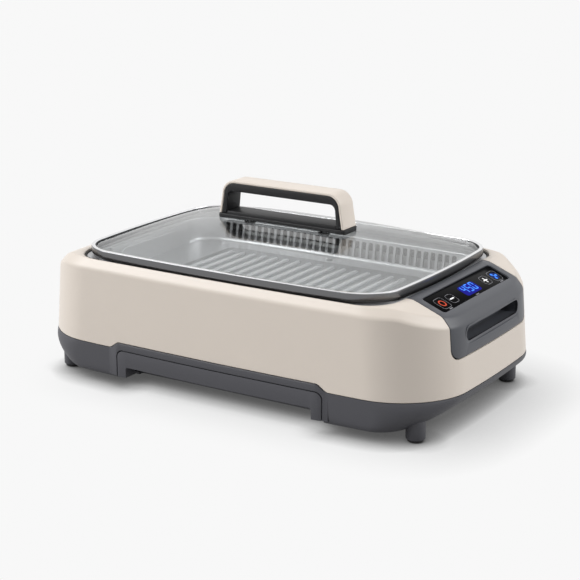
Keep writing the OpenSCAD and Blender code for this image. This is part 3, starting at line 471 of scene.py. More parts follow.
def toned(tree, factor, color, low, high):
    """A colour that varies between two shares of itself."""
    return add(tree, "ShaderNodeMix", {
        "Factor": factor, "A": (*[c * low for c in color], 1),
        "B": (*[min(1, c * high) for c in color], 1)}, data_type="RGBA").outputs["Result"]


def moulded(name, color, rough=0.4, variation=0.03, grain=900.0, bump=0.06, metallic=0.0,
            specular=0.5, stretch=(1, 1, 1), mottle=14.0):
    """A plastic, painted or metal finish with a fine grain and a slight unevenness of tone."""
    material, tree = material_tree(name)
    if tree is None:
        return material
    coords = add(tree, "ShaderNodeTexCoord", {}).outputs["Object"]
    place = add(tree, "ShaderNodeMapping", {"Vector": coords, "Scale": stretch}).outputs["Vector"]
    patches, fine = noise(tree, mottle, place, 3), noise(tree, grain, place)
    sheen = add(tree, "ShaderNodeMapRange", {
        "Value": fine, "To Min": rough * 0.88, "To Max": min(1, rough * 1.12)})
    shader = tree.nodes["Principled BSDF"]
    feed(tree, shader, {
        "Base Color": toned(tree, patches, color, 1 - variation, 1 + variation),
        "Roughness": sheen.outputs["Result"], "Metallic": metallic, "Specular IOR Level": specular})
    if bump:
        relief = add(tree, "ShaderNodeBump", {"Height": fine, "Strength": bump, "Distance": 0.0002})
        feed(tree, shader, {"Normal": relief.outputs["Normal"]})
    return material


def clear_glass(name, tint, mirror):
    """Thin clear glass: it lets light straight through and mirrors more at a shallow angle."""
    material, tree = material_tree(name)
    if tree is None:
        return material
    tree.nodes.remove(tree.nodes["Principled BSDF"])
    see = add(tree, "ShaderNodeBsdfTransparent", {"Color": toned(tree, noise(tree, 6), tint, 1, 1.02)})
    shine = add(tree, "ShaderNodeBsdfGlossy", {"Roughness": 0.02})
    # The Fresnel node turns the index over on inner faces, which is undone here
    side = add(tree, "ShaderNodeNewGeometry", {}).outputs["Backfacing"]
    index = add(tree, "ShaderNodeMix", {"Factor": side, "A": mirror, "B": 1 / mirror})
    fresnel = add(tree, "ShaderNodeFresnel", {"IOR": index.outputs["Result"]})
    mix = add(tree, "ShaderNodeMixShader", {
        "Fac": fresnel.outputs["Fac"], 1: see.outputs["BSDF"], 2: shine.outputs["BSDF"]})
    feed(tree, tree.nodes["Material Output"], {"Surface": mix.outputs["Shader"]})
    return material


def glowing(name, color, strength):
    """A lit sign: flat light with a slight unevenness."""
    material, tree = material_tree(name)
    if tree is None:
        return material
    feed(tree, tree.nodes["Principled BSDF"], {
        "Base Color": (0.005, 0.005, 0.005, 1), "Roughness": 0.4, "Specular IOR Level": 0.02,
        "Emission Color": toned(tree, noise(tree, 400), color, 0.9, 1),
        "Emission Strength": strength})
    return material


def finishes():
    """Every finish of the grill, by name."""
    c = bpy.context.scene.grill_colors
    cream, charcoal, slate = tuple(c.shell), tuple(c.base), tuple(c.fascia)
    return {
        "cream": moulded("cream_satin", cream, rough=0.38, variation=0.015, bump=0.03),
        "charcoal": moulded("charcoal_plastic", charcoal, rough=0.5, variation=0.05, bump=0.15),
        "slate": moulded("slate_satin", slate, rough=0.4, variation=0.03, bump=0.08),
        "black": moulded("black_plastic", (0.012, 0.012, 0.013), rough=0.45, variation=0.1,
                        specular=0.28),
        "gloss": moulded("black_gloss", (0.003, 0.003, 0.0035), rough=0.12, bump=0, specular=0.008),
        "plate": moulded("plate_coating", tuple(c.plate), rough=0.36, variation=0.04, grain=1500,
                         metallic=0.75, bump=0.1),
        # Ribs and field are one cast coating: the ribs' lighter tone is a painted highlight, and the
        # field's darker tone is painted shade between the ribs
        "ribs": moulded("plate_ribs_painted_highlight", (0.74, 0.74, 0.75), rough=0.26, variation=0.04, grain=1500,
                        metallic=0.6, bump=0.1),
        "field": moulded("plate_field_painted_shade", (0.25, 0.25, 0.26), rough=0.36, variation=0.04, grain=1500,
                         metallic=0.75, bump=0.1),
        "rim": moulded("rim_metal", (0.16, 0.16, 0.165), rough=0.24, metallic=1.0, variation=0.02,
                       bump=0.02),
        # The rim's top faces take this bright metal, which is a painted highlight along the top edge of
        # the one dark rim
        "lip": moulded("rim_top_painted_highlight", (0.85, 0.85, 0.86), rough=0.2, metallic=1.0, variation=0.02,
                       bump=0.02),
        "glass": clear_glass("lid_glass_clear", (0.93, 0.94, 0.94), c.glass_mirror),
        "steel": moulded("bright_steel", (0.55, 0.55, 0.56), rough=0.3, metallic=1.0, grain=400,
                         stretch=(1, 1, 8)),
        "sheet": moulded("pressed_sheet", (0.60, 0.60, 0.60), rough=0.35, metallic=1.0, grain=500),
        "element": moulded("annealed_tube", (0.09, 0.085, 0.08), rough=0.5, metallic=0.9),
        "ceramic": moulded("ceramic", (0.72, 0.70, 0.64), rough=0.7, variation=0.06, bump=0.3),
        "board": moulded("circuit_board", (0.015, 0.10, 0.04), rough=0.35, variation=0.2, mottle=90),
        "rubber": moulded("rubber", (0.012, 0.012, 0.012), rough=0.75, bump=0.3),
        "brass": moulded("brass", (0.72, 0.50, 0.20), rough=0.28, metallic=1.0),
        "grey": moulded("grey_plastic", (0.16, 0.16, 0.17), rough=0.5),
        "tray": moulded("tray_coating", (0.03, 0.03, 0.033), rough=0.32, metallic=0.3),
        "sleeve": moulded("glass_sleeve", (0.70, 0.69, 0.65), rough=0.85, bump=0.5, grain=1600),
        "wire": moulded("black_wire", (0.015, 0.015, 0.015), rough=0.6),
    }


# Settings


def dims(name, description, default):
    return FloatProperty(name=name, description=description, default=default, unit="LENGTH",
                         subtype="DISTANCE", min=0)


def colour(name, description, default):
    return FloatVectorProperty(name=name, description=description, default=default, subtype="COLOR",
                               size=3, min=0, max=1)


class GrillSizes(bpy.types.PropertyGroup):
    """Sizes of what the scene adds to the CAD model"""
    rib_count: IntProperty(name="Ribs", description="Number of ribs on the plate", default=16, min=2)
    rib_pitch: dims("Rib pitch", "Distance between the ribs", 0.0158)
    rib_height: dims("Rib height", "Height of a rib above its field", 0.0032)
    rib_width: dims("Rib width", "Width of a rib at its foot", 0.006)
    slot_count: IntProperty(name="Smoke slots", description="Number of slots in the plate's back wall",
                            default=35, min=2)
    slot_pitch: dims("Slot pitch", "Distance between the smoke slots", 0.0093)
    slot_width: dims("Slot width", "Width of a smoke slot", 0.006)
    edge: dims("Edge rounding", "Rounding of the moulded panels' edges", 0.0006)


class GrillColors(bpy.types.PropertyGroup):
    """Colours of the grill's finishes"""
    shell: colour("Shell", "Satin shell and handle cover", (0.80, 0.72, 0.64))
    base: colour("Base", "Base and drawer", (0.062, 0.062, 0.072))
    fascia: colour("Fascia", "Control fascia", (0.066, 0.070, 0.082))
    plate: colour("Plate", "Coated grill plate", (0.55, 0.55, 0.56))
    glass_mirror: FloatProperty(name="Glass mirror", description="How strongly the lid mirrors",
                                default=2.0, min=1, max=3)


# Body


def opening(inset, z):
    return ring(OPEN_HX - inset, OPEN_HY - inset, OPEN_R - inset, OPEN_BOW, z)


def shell_rings():
    """The moulded skin of the upper body, from the seam over the rim and back inside."""
    cx, cy = BODY_HX - END_DRAFT, BODY_HY - SIDE_DRAFT
    hx, hy = cx - BEVEL_X, cy - BEVEL_Y
    crest = outline(hx, hy, CREST_R)
    foot = ring(BODY_HX, BODY_HY, CORNER_R, BOW, SEAM_Z)
    low = hung_ring(cx, cy, CREASE_R, BOW, crest, -BEVEL_Z)
    high = hung_ring(hx, hy, CREST_R, BOW, crest, 0)

    def shelf(t):
        return top_ring(hx * (1 - t) + OPEN_HX * t, hy * (1 - t) + OPEN_HY * t,
                        CREST_R * (1 - t) + OPEN_R * t, BOW * (1 - t) + OPEN_BOW * t, 0)

    # The crease and the crest are rounded between points part of the way along their faces
    a, b = low + (foot - low) * 0.035, low + (high - low) * 0.28
    c, d = high + (low - high) * 0.25, high + (shelf(0.3) - high) * 0.25
    turn = np.linspace(0, 1, 9)
    rings = [foot + (0, 0, SEAM_ROUND)]
    rings += [bend(a, low, b, t) for t in turn] + [bend(c, high, d, t) for t in turn]
    rings += [shelf(t) for t in (0.3, 0.45, 0.6, 0.7, 0.8, 0.86, 0.92)]
    for k in range(7):
        s = radians(90 * k / 6)
        grow = MOUTH_IN * (1 - sin(s))
        rings.append(top_ring(OPEN_HX + grow, OPEN_HY + grow, OPEN_R, OPEN_BOW,
                              -MOUTH_DOWN * (1 - cos(s))))
    # The inner skin stays clear of the outer one where the slope comes down
    under = -WALL - 0.6
    rings += [
        opening(0, RIM_Z - LIP_H), opening(-WALL, RIM_Z - LIP_H),
        top_ring(OPEN_HX + WALL, OPEN_HY + WALL, OPEN_R + WALL, OPEN_BOW, under),
        hung_ring(hx - 1.5, hy + 1.2, CREST_R, BOW, crest, under),
        hung_ring(cx - WALL, cy - WALL, CREASE_R - WALL, BOW, crest, -BEVEL_Z - 1.2),
        ring(BODY_HX - WALL, BODY_HY - WALL, CORNER_R - WALL, BOW, SEAM_Z)]
    for s in (0, pi / 6, pi / 3):
        inset = SEAM_ROUND * (1 - sin(s))
        rings.append(ring(BODY_HX - inset, BODY_HY - inset, CORNER_R, BOW,
                          SEAM_Z + SEAM_ROUND * (1 - cos(s))))
    return rings


def shell_skin(name):
    return loft(name, shell_rings(), closed=True)


def fascia_zone(grow):
    hw = FASCIA_W / 2 + grow
    return prism("zone", rounded(-hw, FASCIA_Z - grow, hw, RIM_Z + 2 * REACH, FASCIA_R, 12), "x",
                 OPEN_HX - REACH, BODY_HX + REACH)


def left_zone(grow):
    hw = LEFT_W / 2 + grow
    low, high = RECESS_Z - RECESS_H / 2 - LEFT_BELOW, RECESS_Z + RECESS_H / 2 + LEFT_ABOVE
    return prism("zone", rounded(-hw, low - grow, hw, high + grow, LEFT_R, 10), "x",
                 -BODY_HX - REACH, -BODY_HX + 2 * REACH)


def back_window(x, hw, z, height):
    """A cutting block for an opening in the back wall."""
    return block("cut", (x - hw, BODY_HY - WALL_CUT, z), (x + hw, BODY_HY + REACH, z + height))


def surround_edge(grow, bottom):
    """Front view of the raised surround, with its top edge eased down to the seam."""
    h, s, n = SURROUND_W / 2, SURROUND_STEP, 20
    rise = [(-(h + s) + s * i / n - grow, SEAM_Z + (SURROUND_TOP - SEAM_Z) * ease(i / n) + grow)
            for i in range(n + 1)]
    fall = [(-x, z) for x, z in reversed(rise)]
    return [(rise[0][0], bottom)] + rise + fall + [(fall[-1][0], bottom)]


def proud_y(x):
    return side_y(x, SEAM_Z) + PROUD * ease((SURROUND_W / 2 + SURROUND_STEP - abs(x)) / SURROUND_STEP)


def proud_plan(x0, x1, out, back, n=90):
    """Plan of what stands out from the bowed front wall."""
    front = [(x0 + (x1 - x0) * i / n, -proud_y(x0 + (x1 - x0) * i / n) + out) for i in range(n + 1)]
    return front + [(x1, -back), (x0, -back)]


def front_cut(points, depth=None):
    """A cutting solid of a front view, to a depth behind the front, or to the middle without one."""
    return prism("cut", points, "y", -BODY_HY - REACH, depth - BODY_HY if depth else 0)


class GRILL_OT_shell(bpy.types.Operator):
    """Moulded upper shell"""
    bl_idname = "grill.shell"
    bl_label = "Upper shell"

    def execute(self, context):
        looks, edge = finishes(), context.scene.grill_sizes.edge / MM
        shell = shell_skin("upper_shell_moulded")
        gap = PANEL_GAP + PANEL_REVEAL
        carve(shell, [
            fascia_zone(gap), left_zone(gap), back_window(DUCT_X, DUCT_HW, DUCT_Z, DUCT_H),
            back_window(INLET_X, INLET_HW, INLET_Z, INLET_H),
            front_cut(surround_edge(PANEL_GAP, SEAM_Z - 10), WALL_CUT)])
        soften(shell, edge, 2, 50)
        finish(shell, "base", looks["cream"], ["upper_shell"])
        weigh(shell)
        return {"FINISHED"}


def base_form(name, inset, z0, z1):
    """The bowl of the base, whose ends curve in towards the floor."""
    hx, hy, run = BODY_HX - inset, BODY_HY - inset, SEAM_Z - SEAM_GAP - BASE_Z
    rings = []
    for k in range(33):
        t = 1 - k / 32
        rings.append(ring(hx - END_IN * t ** END_CURVE, hy - SIDE_IN * t ** SIDE_CURVE,
                          CORNER_R - inset - (CORNER_R - UNDER_R) * t, BOW, z0 + run * (1 - t)))
    if z1 > z0 + run + 0.1:
        rings.append(ring(hx, hy, CORNER_R - inset, BOW, z1))
    return loft(name, rings)


def across(width):
    """Where a width that is centred on the drawer starts and ends."""
    return DRAWER_SHIFT - width / 2, DRAWER_SHIFT + width / 2


class GRILL_OT_base(bpy.types.Operator):
    """Base with the drawer's surround, and the feet's legs"""
    bl_idname = "grill.base"
    bl_label = "Base"

    def execute(self, context):
        looks = finishes()
        base = base_form("base_pan_moulded", 0, BASE_Z, SEAM_Z - SEAM_GAP)
        carve(base, [base_form("cut", WALL, FLOOR_IN, SURROUND_TOP + 5)])
        (x0, x1), (g0, g1), gap = across(DRAWER_W), across(GRIP_W), PANEL_GAP + 0.5
        slot = rounded(x0 - gap, BELOW, x1 + gap, DRAWER_TOP + gap, DRAWER_R + gap, 10)
        cuts = [front_cut(slot, DRAWER_CUT),
                block("cut", (g0, -BODY_HY - REACH, 0), (g1, -BODY_HY + GRIP_CUT, FLOOR_IN + 1))]
        for i in range(VENT_COUNT):
            x = VENT_X + VENT_PITCH * i
            cuts.append(block("cut", (x, -VENT_L / 2, 0), (x + VENT_W, VENT_L / 2, VENT_H)))
        carve(base, cuts)
        finish(base, "base", looks["charcoal"], ["base_pan"])

        h = SURROUND_W / 2 + SURROUND_STEP
        surround = prism("base_surround", proud_plan(-h, h, 0, BODY_HY - SURROUND_D, 120), "z",
                         BASE_Z + DRAWER_LIFT, SURROUND_TOP + 2)
        carve(surround, [front_cut(surround_edge(-0.3, BASE_Z - 3))], "INTERSECT")
        carve(surround, [front_cut(slot)])
        soften(surround, 0.9, 3, 40)
        finish(surround, "base", looks["charcoal"], ["base_pan"])

        profile = [(0, FOOT_GAP), (FOOT_R - 0.9, FOOT_GAP), (FOOT_R - 0.25, FOOT_GAP + 0.3),
                   (FOOT_R, FOOT_GAP + 1), (FOOT_R, LEG_TOP), (0, LEG_TOP)]
        legs = [turned("leg", profile, (sx * FOOT_X, sy * FOOT_Y), 64)
                for sx in (-1, 1) for sy in (-1, 1)]
        finish(joined("foot_legs", legs), "base", looks["charcoal"], ["base_pan"])
        return {"FINISHED"}


class GRILL_OT_drawer(bpy.types.Operator):
    """Front of the drip drawer"""
    bl_idname = "grill.drawer"
    bl_label = "Drawer front"

    def execute(self, context):
        looks = finishes()
        (x0, x1), (g0, g1) = across(DRAWER_W), across(GRIP_W)
        plan = proud_plan(x0, x1, 0.3, BODY_HY - 8 - DRAWER_T + PROUD)
        front = prism("drawer_front_moulded", plan, "z", BASE_Z + DRAWER_LIFT, DRAWER_TOP)
        face = rounded(x0 + 0.35, BELOW, x1 - 0.35, DRAWER_TOP - 0.35, DRAWER_R, 10)
        carve(front, [front_cut(face)], "INTERSECT")
        carve(front, [front_cut(rounded(g0, BELOW, g1, GRIP_Z, GRIP_R, 6))])
        soften(front, 0.8, 3, 40)
        finish(front, "drawer", looks["charcoal"], ["drawer_front"])
        return {"FINISHED"}


# Control panel


def on_slope(obj):
    """Lays a piece drawn flat, with x down the slope, on the sloping top at the right."""
    turn = Matrix.Translation(Vector((KNEE_X, 0, RIM_Z)) * MM)
    return moved(obj, turn @ Matrix.Rotation(radians(SLOPE_A), 4, "Y"))


def slab(name, x0, x1, hy, z0, z1, r, y=0.0):
    """A flat piece with rounded corners, from x0 to x1 and hy to both sides of y."""
    return prism(name, [(a, b + y) for a, b in rounded(x0, -hy, x1, hy, r, 10)], "z", z0, z1)


def recess_shape(grow):
    hw, hh = RECESS_L / 2 + grow, RECESS_H / 2 + grow
    return rounded(-hw, RECESS_Z - hh, hw, RECESS_Z + hh, hh - 0.5, 12)


def carry_pocket(name, side):
    """The open box behind a carry recess."""
    back = end_x(0, RECESS_Z) - RECESS_D
    lo, hi = sorted((side * (back - WALL), side * (end_x(RECESS_L / 2 + 3, RECESS_Z) - 0.6)))
    pocket = prism(name, recess_shape(2), "x", lo, hi)
    lo, hi = sorted((side * back, side * (BODY_HX + REACH)))
    return carve(pocket, [prism("cut", recess_shape(0), "x", lo, hi)])


def segment_digit(pattern, x, y, w, h, t):
    """Outlines of a seven-segment digit; x runs down the slope and y to the right of the reader."""
    bars = {
        "a": (0, 0, w, t), "d": (0, h - t, w, t), "g": (0, h / 2 - t / 2, w, t),
        "f": (0, 0, t, h / 2), "e": (0, h / 2, t, h / 2),
        "b": (w - t, 0, t, h / 2), "c": (w - t, h / 2, t, h / 2)}
    shapes = []
    for key in pattern:
        by, bx, lw, lh = bars[key]
        if lw > lh:
            cut = [(0.25 * t, t / 2), (0.75 * t, 0), (lw - 0.75 * t, 0), (lw - 0.25 * t, t / 2),
                   (lw - 0.75 * t, t), (0.75 * t, t)]
        else:
            cut = [(t / 2, 0.25 * t), (t, 0.75 * t), (t, lh - 0.75 * t), (t / 2, lh - 0.25 * t),
                   (0, lh - 0.75 * t), (0, 0.75 * t)]
        shapes.append([(x + bx + q, y + by + p) for p, q in cut])
    return shapes


def plate_shape(name, shapes, z0, z1):
    return joined(name, [prism("mark", s, "z", z0, z1) for s in shapes])


def band_shape(name, outer, inner, z0, z1):
    """A flat band between two outlines with the same number of points."""
    n = len(outer)
    vertices = [(*p, z) for z in (z0, z1) for loop in (outer, inner) for p in loop]
    faces = []
    for j in range(n):
        k = (j + 1) % n
        faces += [(j, k, n + k, n + j), (2 * n + j, 3 * n + j, 3 * n + k, 2 * n + k),
                  (j, 2 * n + j, 2 * n + k, k), (n + j, n + k, 3 * n + k, 3 * n + j)]
    return outward(new_object(name, vertices, faces))


def grip_panel(node, pocket, side, zone, cutters):
    """A panel let into one end of the shell, with the pocket of its carry recess."""
    looks, edge = finishes(), bpy.context.scene.grill_sizes.edge / MM
    panel = carve(shell_skin(f"{node}_moulded"), [zone], "INTERSECT")
    carve(panel, cutters)
    soften(panel, edge, 2, 50)
    finish(panel, "base", looks["slate"], [node])
    finish(carry_pocket(pocket, side), "base", looks["slate"], [node])


def glass_slab(name, grow, z0, z1, r):
    """A slab in the place of the touch glass, larger than it by grow all round."""
    return on_slope(slab(name, GLASS_OFF - grow, GLASS_OFF + GLASS_W + grow, GLASS_L / 2 + grow,
                         z0, z1, r))


def display_signs(blue):
    """The number on its glowing field."""
    deep = glowing("lit_deep_blue", (0.0, 0.0, 0.30), 1.0)
    digits = []
    for k, pattern in enumerate(DIGITS):
        digits += segment_digit(pattern, DISPLAY_X, DIGIT_Y + DIGIT_PITCH * k, DIGIT_W, DIGIT_H, DIGIT_T)
    field = slab("display_field", DISPLAY_X, DISPLAY_X + DISPLAY_L, DISPLAY_HW, SIGN_LOW, SIGN_STEP,
                 DISPLAY_R, DISPLAY_Y)
    return [(field, deep), (plate_shape("display_digits", digits, SIGN_STEP, SIGN_HIGH), blue)]


def key_frames(printed):
    """A thin printed frame round each key."""
    frames = []
    for name, (x, y, outer) in KEYS.items():
        inner = outer - KEY_LINE
        frame_out, frame_in = [
            rounded(x - h, y - h, x + h, y + h, r, 6)
            for h, r in ((outer, KEY_R), (inner, KEY_R - KEY_LINE))]
        frames.append((band_shape(f"key_frame_{name}", frame_out, frame_in, SIGN_LOW, SIGN_HIGH),
                       printed))
    return frames


def key_signs(blue):
    """What the keys show: a ring, a minus, a plus and a fan."""
    pale, red = glowing("lit_white", (1, 1, 1), 1.3), glowing("lit_red", (0.72, 0.09, 0.04), 1.0)
    dusk = glowing("lit_dusk_blue", (0.0, 0.02, 0.16), 1.0)
    x, y = KEYS["power"][:2]
    power = band_shape("key_power_ring", circle(x, y, POWER_R), circle(x, y, POWER_IN), SIGN_LOW,
                       SIGN_HIGH)
    x, y = KEYS["less"][:2]
    less = slab("key_less_mark", x - LESS_T, x + LESS_T, MARK_L, SIGN_LOW, SIGN_HIGH, 0.5, y)
    x, y = KEYS["more"][:2]
    more = plate_shape("key_more_mark", [
        box(x - MORE_T, y - MARK_L, x + MORE_T, y + MARK_L),
        box(x - MARK_L, y - MORE_T, x - MORE_T, y + MORE_T),
        box(x + MORE_T, y - MORE_T, x + MARK_L, y + MORE_T)], SIGN_LOW, SIGN_HIGH)
    x, y = KEYS["fan"][:2]
    field = slab("key_fan_field", x - FAN_FIELD, x + FAN_FIELD, FAN_FIELD_W, SIGN_LOW, SIGN_STEP,
                 FAN_FIELD_R, y)
    vanes = []
    for k in range(3):
        a = radians(90 + 120 * k)
        vanes.append([(x + r * cos(a + t), y + r * sin(a + t)) for r, t in VANE])
    fan = plate_shape("key_fan_vanes", vanes + [circle(x, y, FAN_HUB, 16)], SIGN_STEP, SIGN_HIGH)
    return [(power, red), (less, pale), (more, pale), (field, dusk), (fan, blue)]


def key_notes(printed):
    """Small printed bars under the keys."""
    return [(slab(f"key_note_{name}", NOTE_X - NOTE_T, NOTE_X + NOTE_T, NOTE_L, SIGN_LOW, SIGN_HIGH,
                  0.3, y), printed) for name, y in NOTES.items()]


class GRILL_OT_controls(bpy.types.Operator):
    """Control fascia with its carry recess, the touch glass and what is lit on it"""
    bl_idname = "grill.controls"
    bl_label = "Controls"

    def execute(self, context):
        looks = finishes()
        grip_panel("control_fascia", "control_fascia_pocket", 1, fascia_zone(0), [
            prism("cut", recess_shape(0), "x", BODY_HX - RECESS_CUT, BODY_HX + REACH),
            prism("cut", recess_shape(REBATE), "x", end_x(0, RECESS_Z) - REBATE_D, BODY_HX + REACH),
            glass_slab("cut", GLASS_SEAM, -6, 8, GLASS_R + 0.4)])
        seat = glass_slab("control_fascia_seat", 0.6, -2.8, -1.8, GLASS_R + 0.4)
        finish(seat, "base", looks["slate"], ["control_fascia"])
        glass = soften(glass_slab("touch_glass_polished", 0, 0.05 - GLASS_T, 0.1, GLASS_R), 0.3, 2, 50)
        finish(glass, "base", looks["gloss"], ["touch_glass"])

        blue = glowing("lit_blue", (0.06, 0.26, 1.0), 1.3)
        printed = moulded("printed_grey", (0.22, 0.22, 0.24), rough=0.5)
        signs = display_signs(blue) + key_frames(printed) + key_signs(blue) + key_notes(printed)
        for obj, material in signs:
            finish(on_slope(obj), "base", material)
        return {"FINISHED"}


class GRILL_OT_left_panel(bpy.types.Operator):
    """Grip panel with the carry recess in the left end"""
    bl_idname = "grill.left_panel"
    bl_label = "Left grip panel"

    def execute(self, context):
        grip_panel("left_grip_panel", "left_grip_pocket", -1, left_zone(0), [
            prism("cut", recess_shape(0), "x", -BODY_HX - REACH, -BODY_HX + RECESS_CUT)])
        return {"FINISHED"}


# Plate


def well(off, z):
    return ring(WELL_HX + off, WELL_HY + off, WELL_R + off, WELL_BOW, z)


def plate_rings():
    """The skin of the plate, from under its floor round the flange and back to the floor's top."""
    under, wall = FLOOR_Z - FLOOR_T, PLATE_WALL - WELL_DRAFT
    rings = [
        well(-WELL_DRAFT - FLOOR_R + PLATE_WALL, under), well(wall - 1, under + 2),
        well(wall, FLOOR_Z + 2), well(PLATE_WALL, PLATE_SEAT)]
    rings += [ring(FLANGE_HX, FLANGE_HY, OPEN_R - 2, OPEN_BOW, z) for z in (PLATE_SEAT, FLANGE_TOP)]
    for k in range(7):
        a = radians(90 * k / 6)
        rings.append(well(WELL_MOUTH * (1 - sin(a)), FLANGE_TOP - WELL_MOUTH * (1 - cos(a))))
    for k in range(9):
        a = radians(90 * k / 8)
        rings.append(well(-WELL_DRAFT - FLOOR_R * (1 - cos(a)), FLOOR_Z + FLOOR_R * (1 - sin(a))))
    return rings


def rib_shape(width, height):
    """One rounded rib with rounded ends, standing on the floor."""
    steps = [(d - RIB_L / 2, share) for d, share in RIB_ENDS]
    steps += [(-p, share) for p, share in reversed(steps)]
    sections = []
    for p, share in steps:
        section = [(-width / 2 - 0.8, -1.0), (width / 2 + 0.8, -1.0)]
        for k in range(13):
            a = radians(180 * k / 12)
            section.append(((width / 2) * cos(a) * (0.8 + 0.2 * share), height * share * sin(a) ** 0.8))
        sections.append(np.array([(x, RIB_Y + p, z) for x, z in section]))
    return loft("grill_plate_ribs_painted_highlight", sections)


def side_pads():
    """The flat panel and the raised pad on each side wall of the well."""
    pads = []
    for side in (1, -1):
        section = [(WELL_HX - WELL_DRAFT - 1.4, FLOOR_Z - 1), (WELL_HX + 1.5, FLOOR_Z - 1),
                   (WELL_HX + 1.5, FLANGE_TOP - 1.2), (WELL_HX - 1.4, FLANGE_TOP - 1.2)]
        panel = prism("pad", [(side * x, z) for x, z in section], "y", SIDE_FRONT, SIDE_BACK)
        pads.append(soften(panel, 0.6, 2, 40))
        lo, hi = sorted((side * (WELL_HX - PAD_DEPTH), side * (WELL_HX + 1.5)))
        pad = prism("pad", rounded(PAD_FRONT, FLOOR_Z - 3, PAD_BACK, FLANGE_TOP - 5.5, PAD_R, 8), "x",
                    lo, hi)
        pads.append(soften(pad, 1.0, 3, 40))
    return joined("grill_plate_side_pads", pads)


class GRILL_OT_plate(bpy.types.Operator):
    """Grill plate with its ribs and smoke slots"""
    bl_idname = "grill.plate"
    bl_label = "Grill plate"

    def execute(self, context):
        looks, sizes = finishes(), context.scene.grill_sizes
        plate = loft("grill_plate_cast", plate_rings())
        width, pitch, top = sizes.slot_width / MM, sizes.slot_pitch / MM, FLANGE_TOP - SLOT_DROP
        slot = prism("cut", rounded(-width / 2, top - SLOT_H, width / 2, top, SLOT_R, 4), "y",
                     WELL_HY - 12, WELL_HY + 12)
        repeat(slot, sizes.slot_count, pitch, 0, looks["plate"])
        carve(plate, [slot])
        low, high = FLOOR_Z - 10, FLOOR_Z + 5
        carve(plate, [turned("cut", [(0, low), (DRAIN_R, low), (DRAIN_R, high), (0, high)],
                             (0, DRAIN_Y), 32)])
        finish(plate, "plate", looks["plate"], ["grill_plate"])
        top = FLOOR_Z + FIELD_H
        # The field between the ribs takes a darker tone, which is painted shade
        field = prism("grill_plate_field_painted_shade", rounded(-FIELD_HX, -FIELD_HY, FIELD_HX, FIELD_HY, FIELD_R, 10),
                      "z", FLOOR_Z - 1, top)
        soften(field, 0.7, 3, 40)
        finish(field, "plate", looks["field"], ["grill_plate"])
        # The ribs take a lighter tone, which is a painted highlight
        rib, pitch = rib_shape(sizes.rib_width / MM, sizes.rib_height / MM), sizes.rib_pitch / MM
        repeat(rib, sizes.rib_count, pitch, top, looks["ribs"])
        finish(rib, "plate", looks["ribs"], ["grill_plate"])
        finish(side_pads(), "plate", looks["plate"], ["grill_plate"])
        return {"FINISHED"}


class GRILL_OT_support_ring(bpy.types.Operator):
    """Black ring that carries the plate"""
    bl_idname = "grill.support_ring"
    bl_label = "Support ring"

    def execute(self, context):
        looks, low, high = finishes(), RING_Z - RING_SKIRT, RIM_Z - RING_DROP
        rings = [opening(0.5, high), opening(0.5, low), opening(RING_WALL, low),
                 opening(RING_WALL, RING_Z - RING_T)]
        rings += [ring(WELL_HX + PLATE_WALL + 0.6, OPEN_HY - 16, OPEN_R - 8, OPEN_BOW - 0.3, z)
                  for z in (RING_Z - RING_T, RING_Z)]
        rings += [opening(1.8, RING_Z), opening(1.8, high)]
        holder = soften(loft("support_ring_moulded", rings, closed=True), 0.5, 2, 50)
        finish(holder, "base", looks["black"], ["support_ring"])
        return {"FINISHED"}


# Lid


def lid_ring(inset, z):
    return ring(LID_HX - inset, LID_HY - inset, LID_R - inset, LID_BOW, z)


def dome(x, y):
    """Rise of the glass over its edge."""
    hx, hy = LID_HX + LID_BOW - 9, LID_HY + LID_BOW - 8.5
    u, v = np.minimum(1, np.abs(x) / hx), np.minimum(1, np.abs(y) / hy)
    return DOME_H * (1 - u ** 3.5) * (1 - v ** 2.5)


def dome_ring(inset, shrink, z):
    o = lid_ring(inset, z)
    o[:, :2] *= shrink
    if shrink < 1:
        o[:, 2] += dome(o[:, 0], o[:, 1])
    return o


class GRILL_OT_lid(bpy.types.Operator):
    """Glass dome and its metal rim"""
    bl_idname = "grill.lid"
    bl_label = "Lid"

    def execute(self, context):
        looks = finishes()
        low, foot, bottom = GLASS_EDGE - LID_GLASS_T, FLANGE_TOP + 0.35, LID_Z - RIM_BAND
        # Section of the rim, as (distance in from the outside, height)
        profile = arc(RIM_UNDER_R, bottom + RIM_UNDER_R, RIM_UNDER_R, -90, -180, 3)
        profile += [(0, LID_Z - 1.5)] + arc(RIM_OUTER_R, LID_Z - RIM_OUTER_R, RIM_OUTER_R, 180, 90, 6)
        bright = len(profile) - 4
        profile += arc(RIM_TOP - RIM_INNER_R, LID_Z - RIM_INNER_R, RIM_INNER_R, 90, 0, 4)
        profile += [(RIM_TOP + 0.1, LID_Z - RIM_T), (RIM_FOLD, LID_Z - RIM_T), (RIM_FOLD, low - 0.3),
                    (RIM_SHELF, low - 0.3), (RIM_SHELF, low - 1.3), (RIM_SKIRT, low - 1.3),
                    (RIM_SKIRT, foot), (2.2, foot), (2.2, bottom)]
        rim = loft("lid_rim_pressed", [lid_ring(*p) for p in profile], closed=True)
        finish(rim, "lid", looks["rim"], ["lid_rim"], angle=50)
        rim.data.materials.append(looks["lip"])
        # The faces over the top of the rim take the bright metal, which is a painted highlight along its
        # edge
        around = len(lid_ring(0, 0))
        for face in rim.data.polygons:
            if bright <= face.index // around < bright + 8:
                face.material_index = 1

        steps = [1 - 0.985 * t ** 1.4 for t in np.linspace(0.03, 1, 22)]
        rings = [dome_ring(DOME_IN, s, low) for s in reversed(steps)]
        rings += [dome_ring(GLASS_IN, 1, low), dome_ring(GLASS_IN, 1, GLASS_EDGE)]
        rings += [dome_ring(DOME_IN, s, GLASS_EDGE) for s in [1] + steps]
        glass = loft("lid_glass_dome", rings)
        finish(glass, "lid", looks["glass"], ["lid_glass"], angle=50)
        return {"FINISHED"}


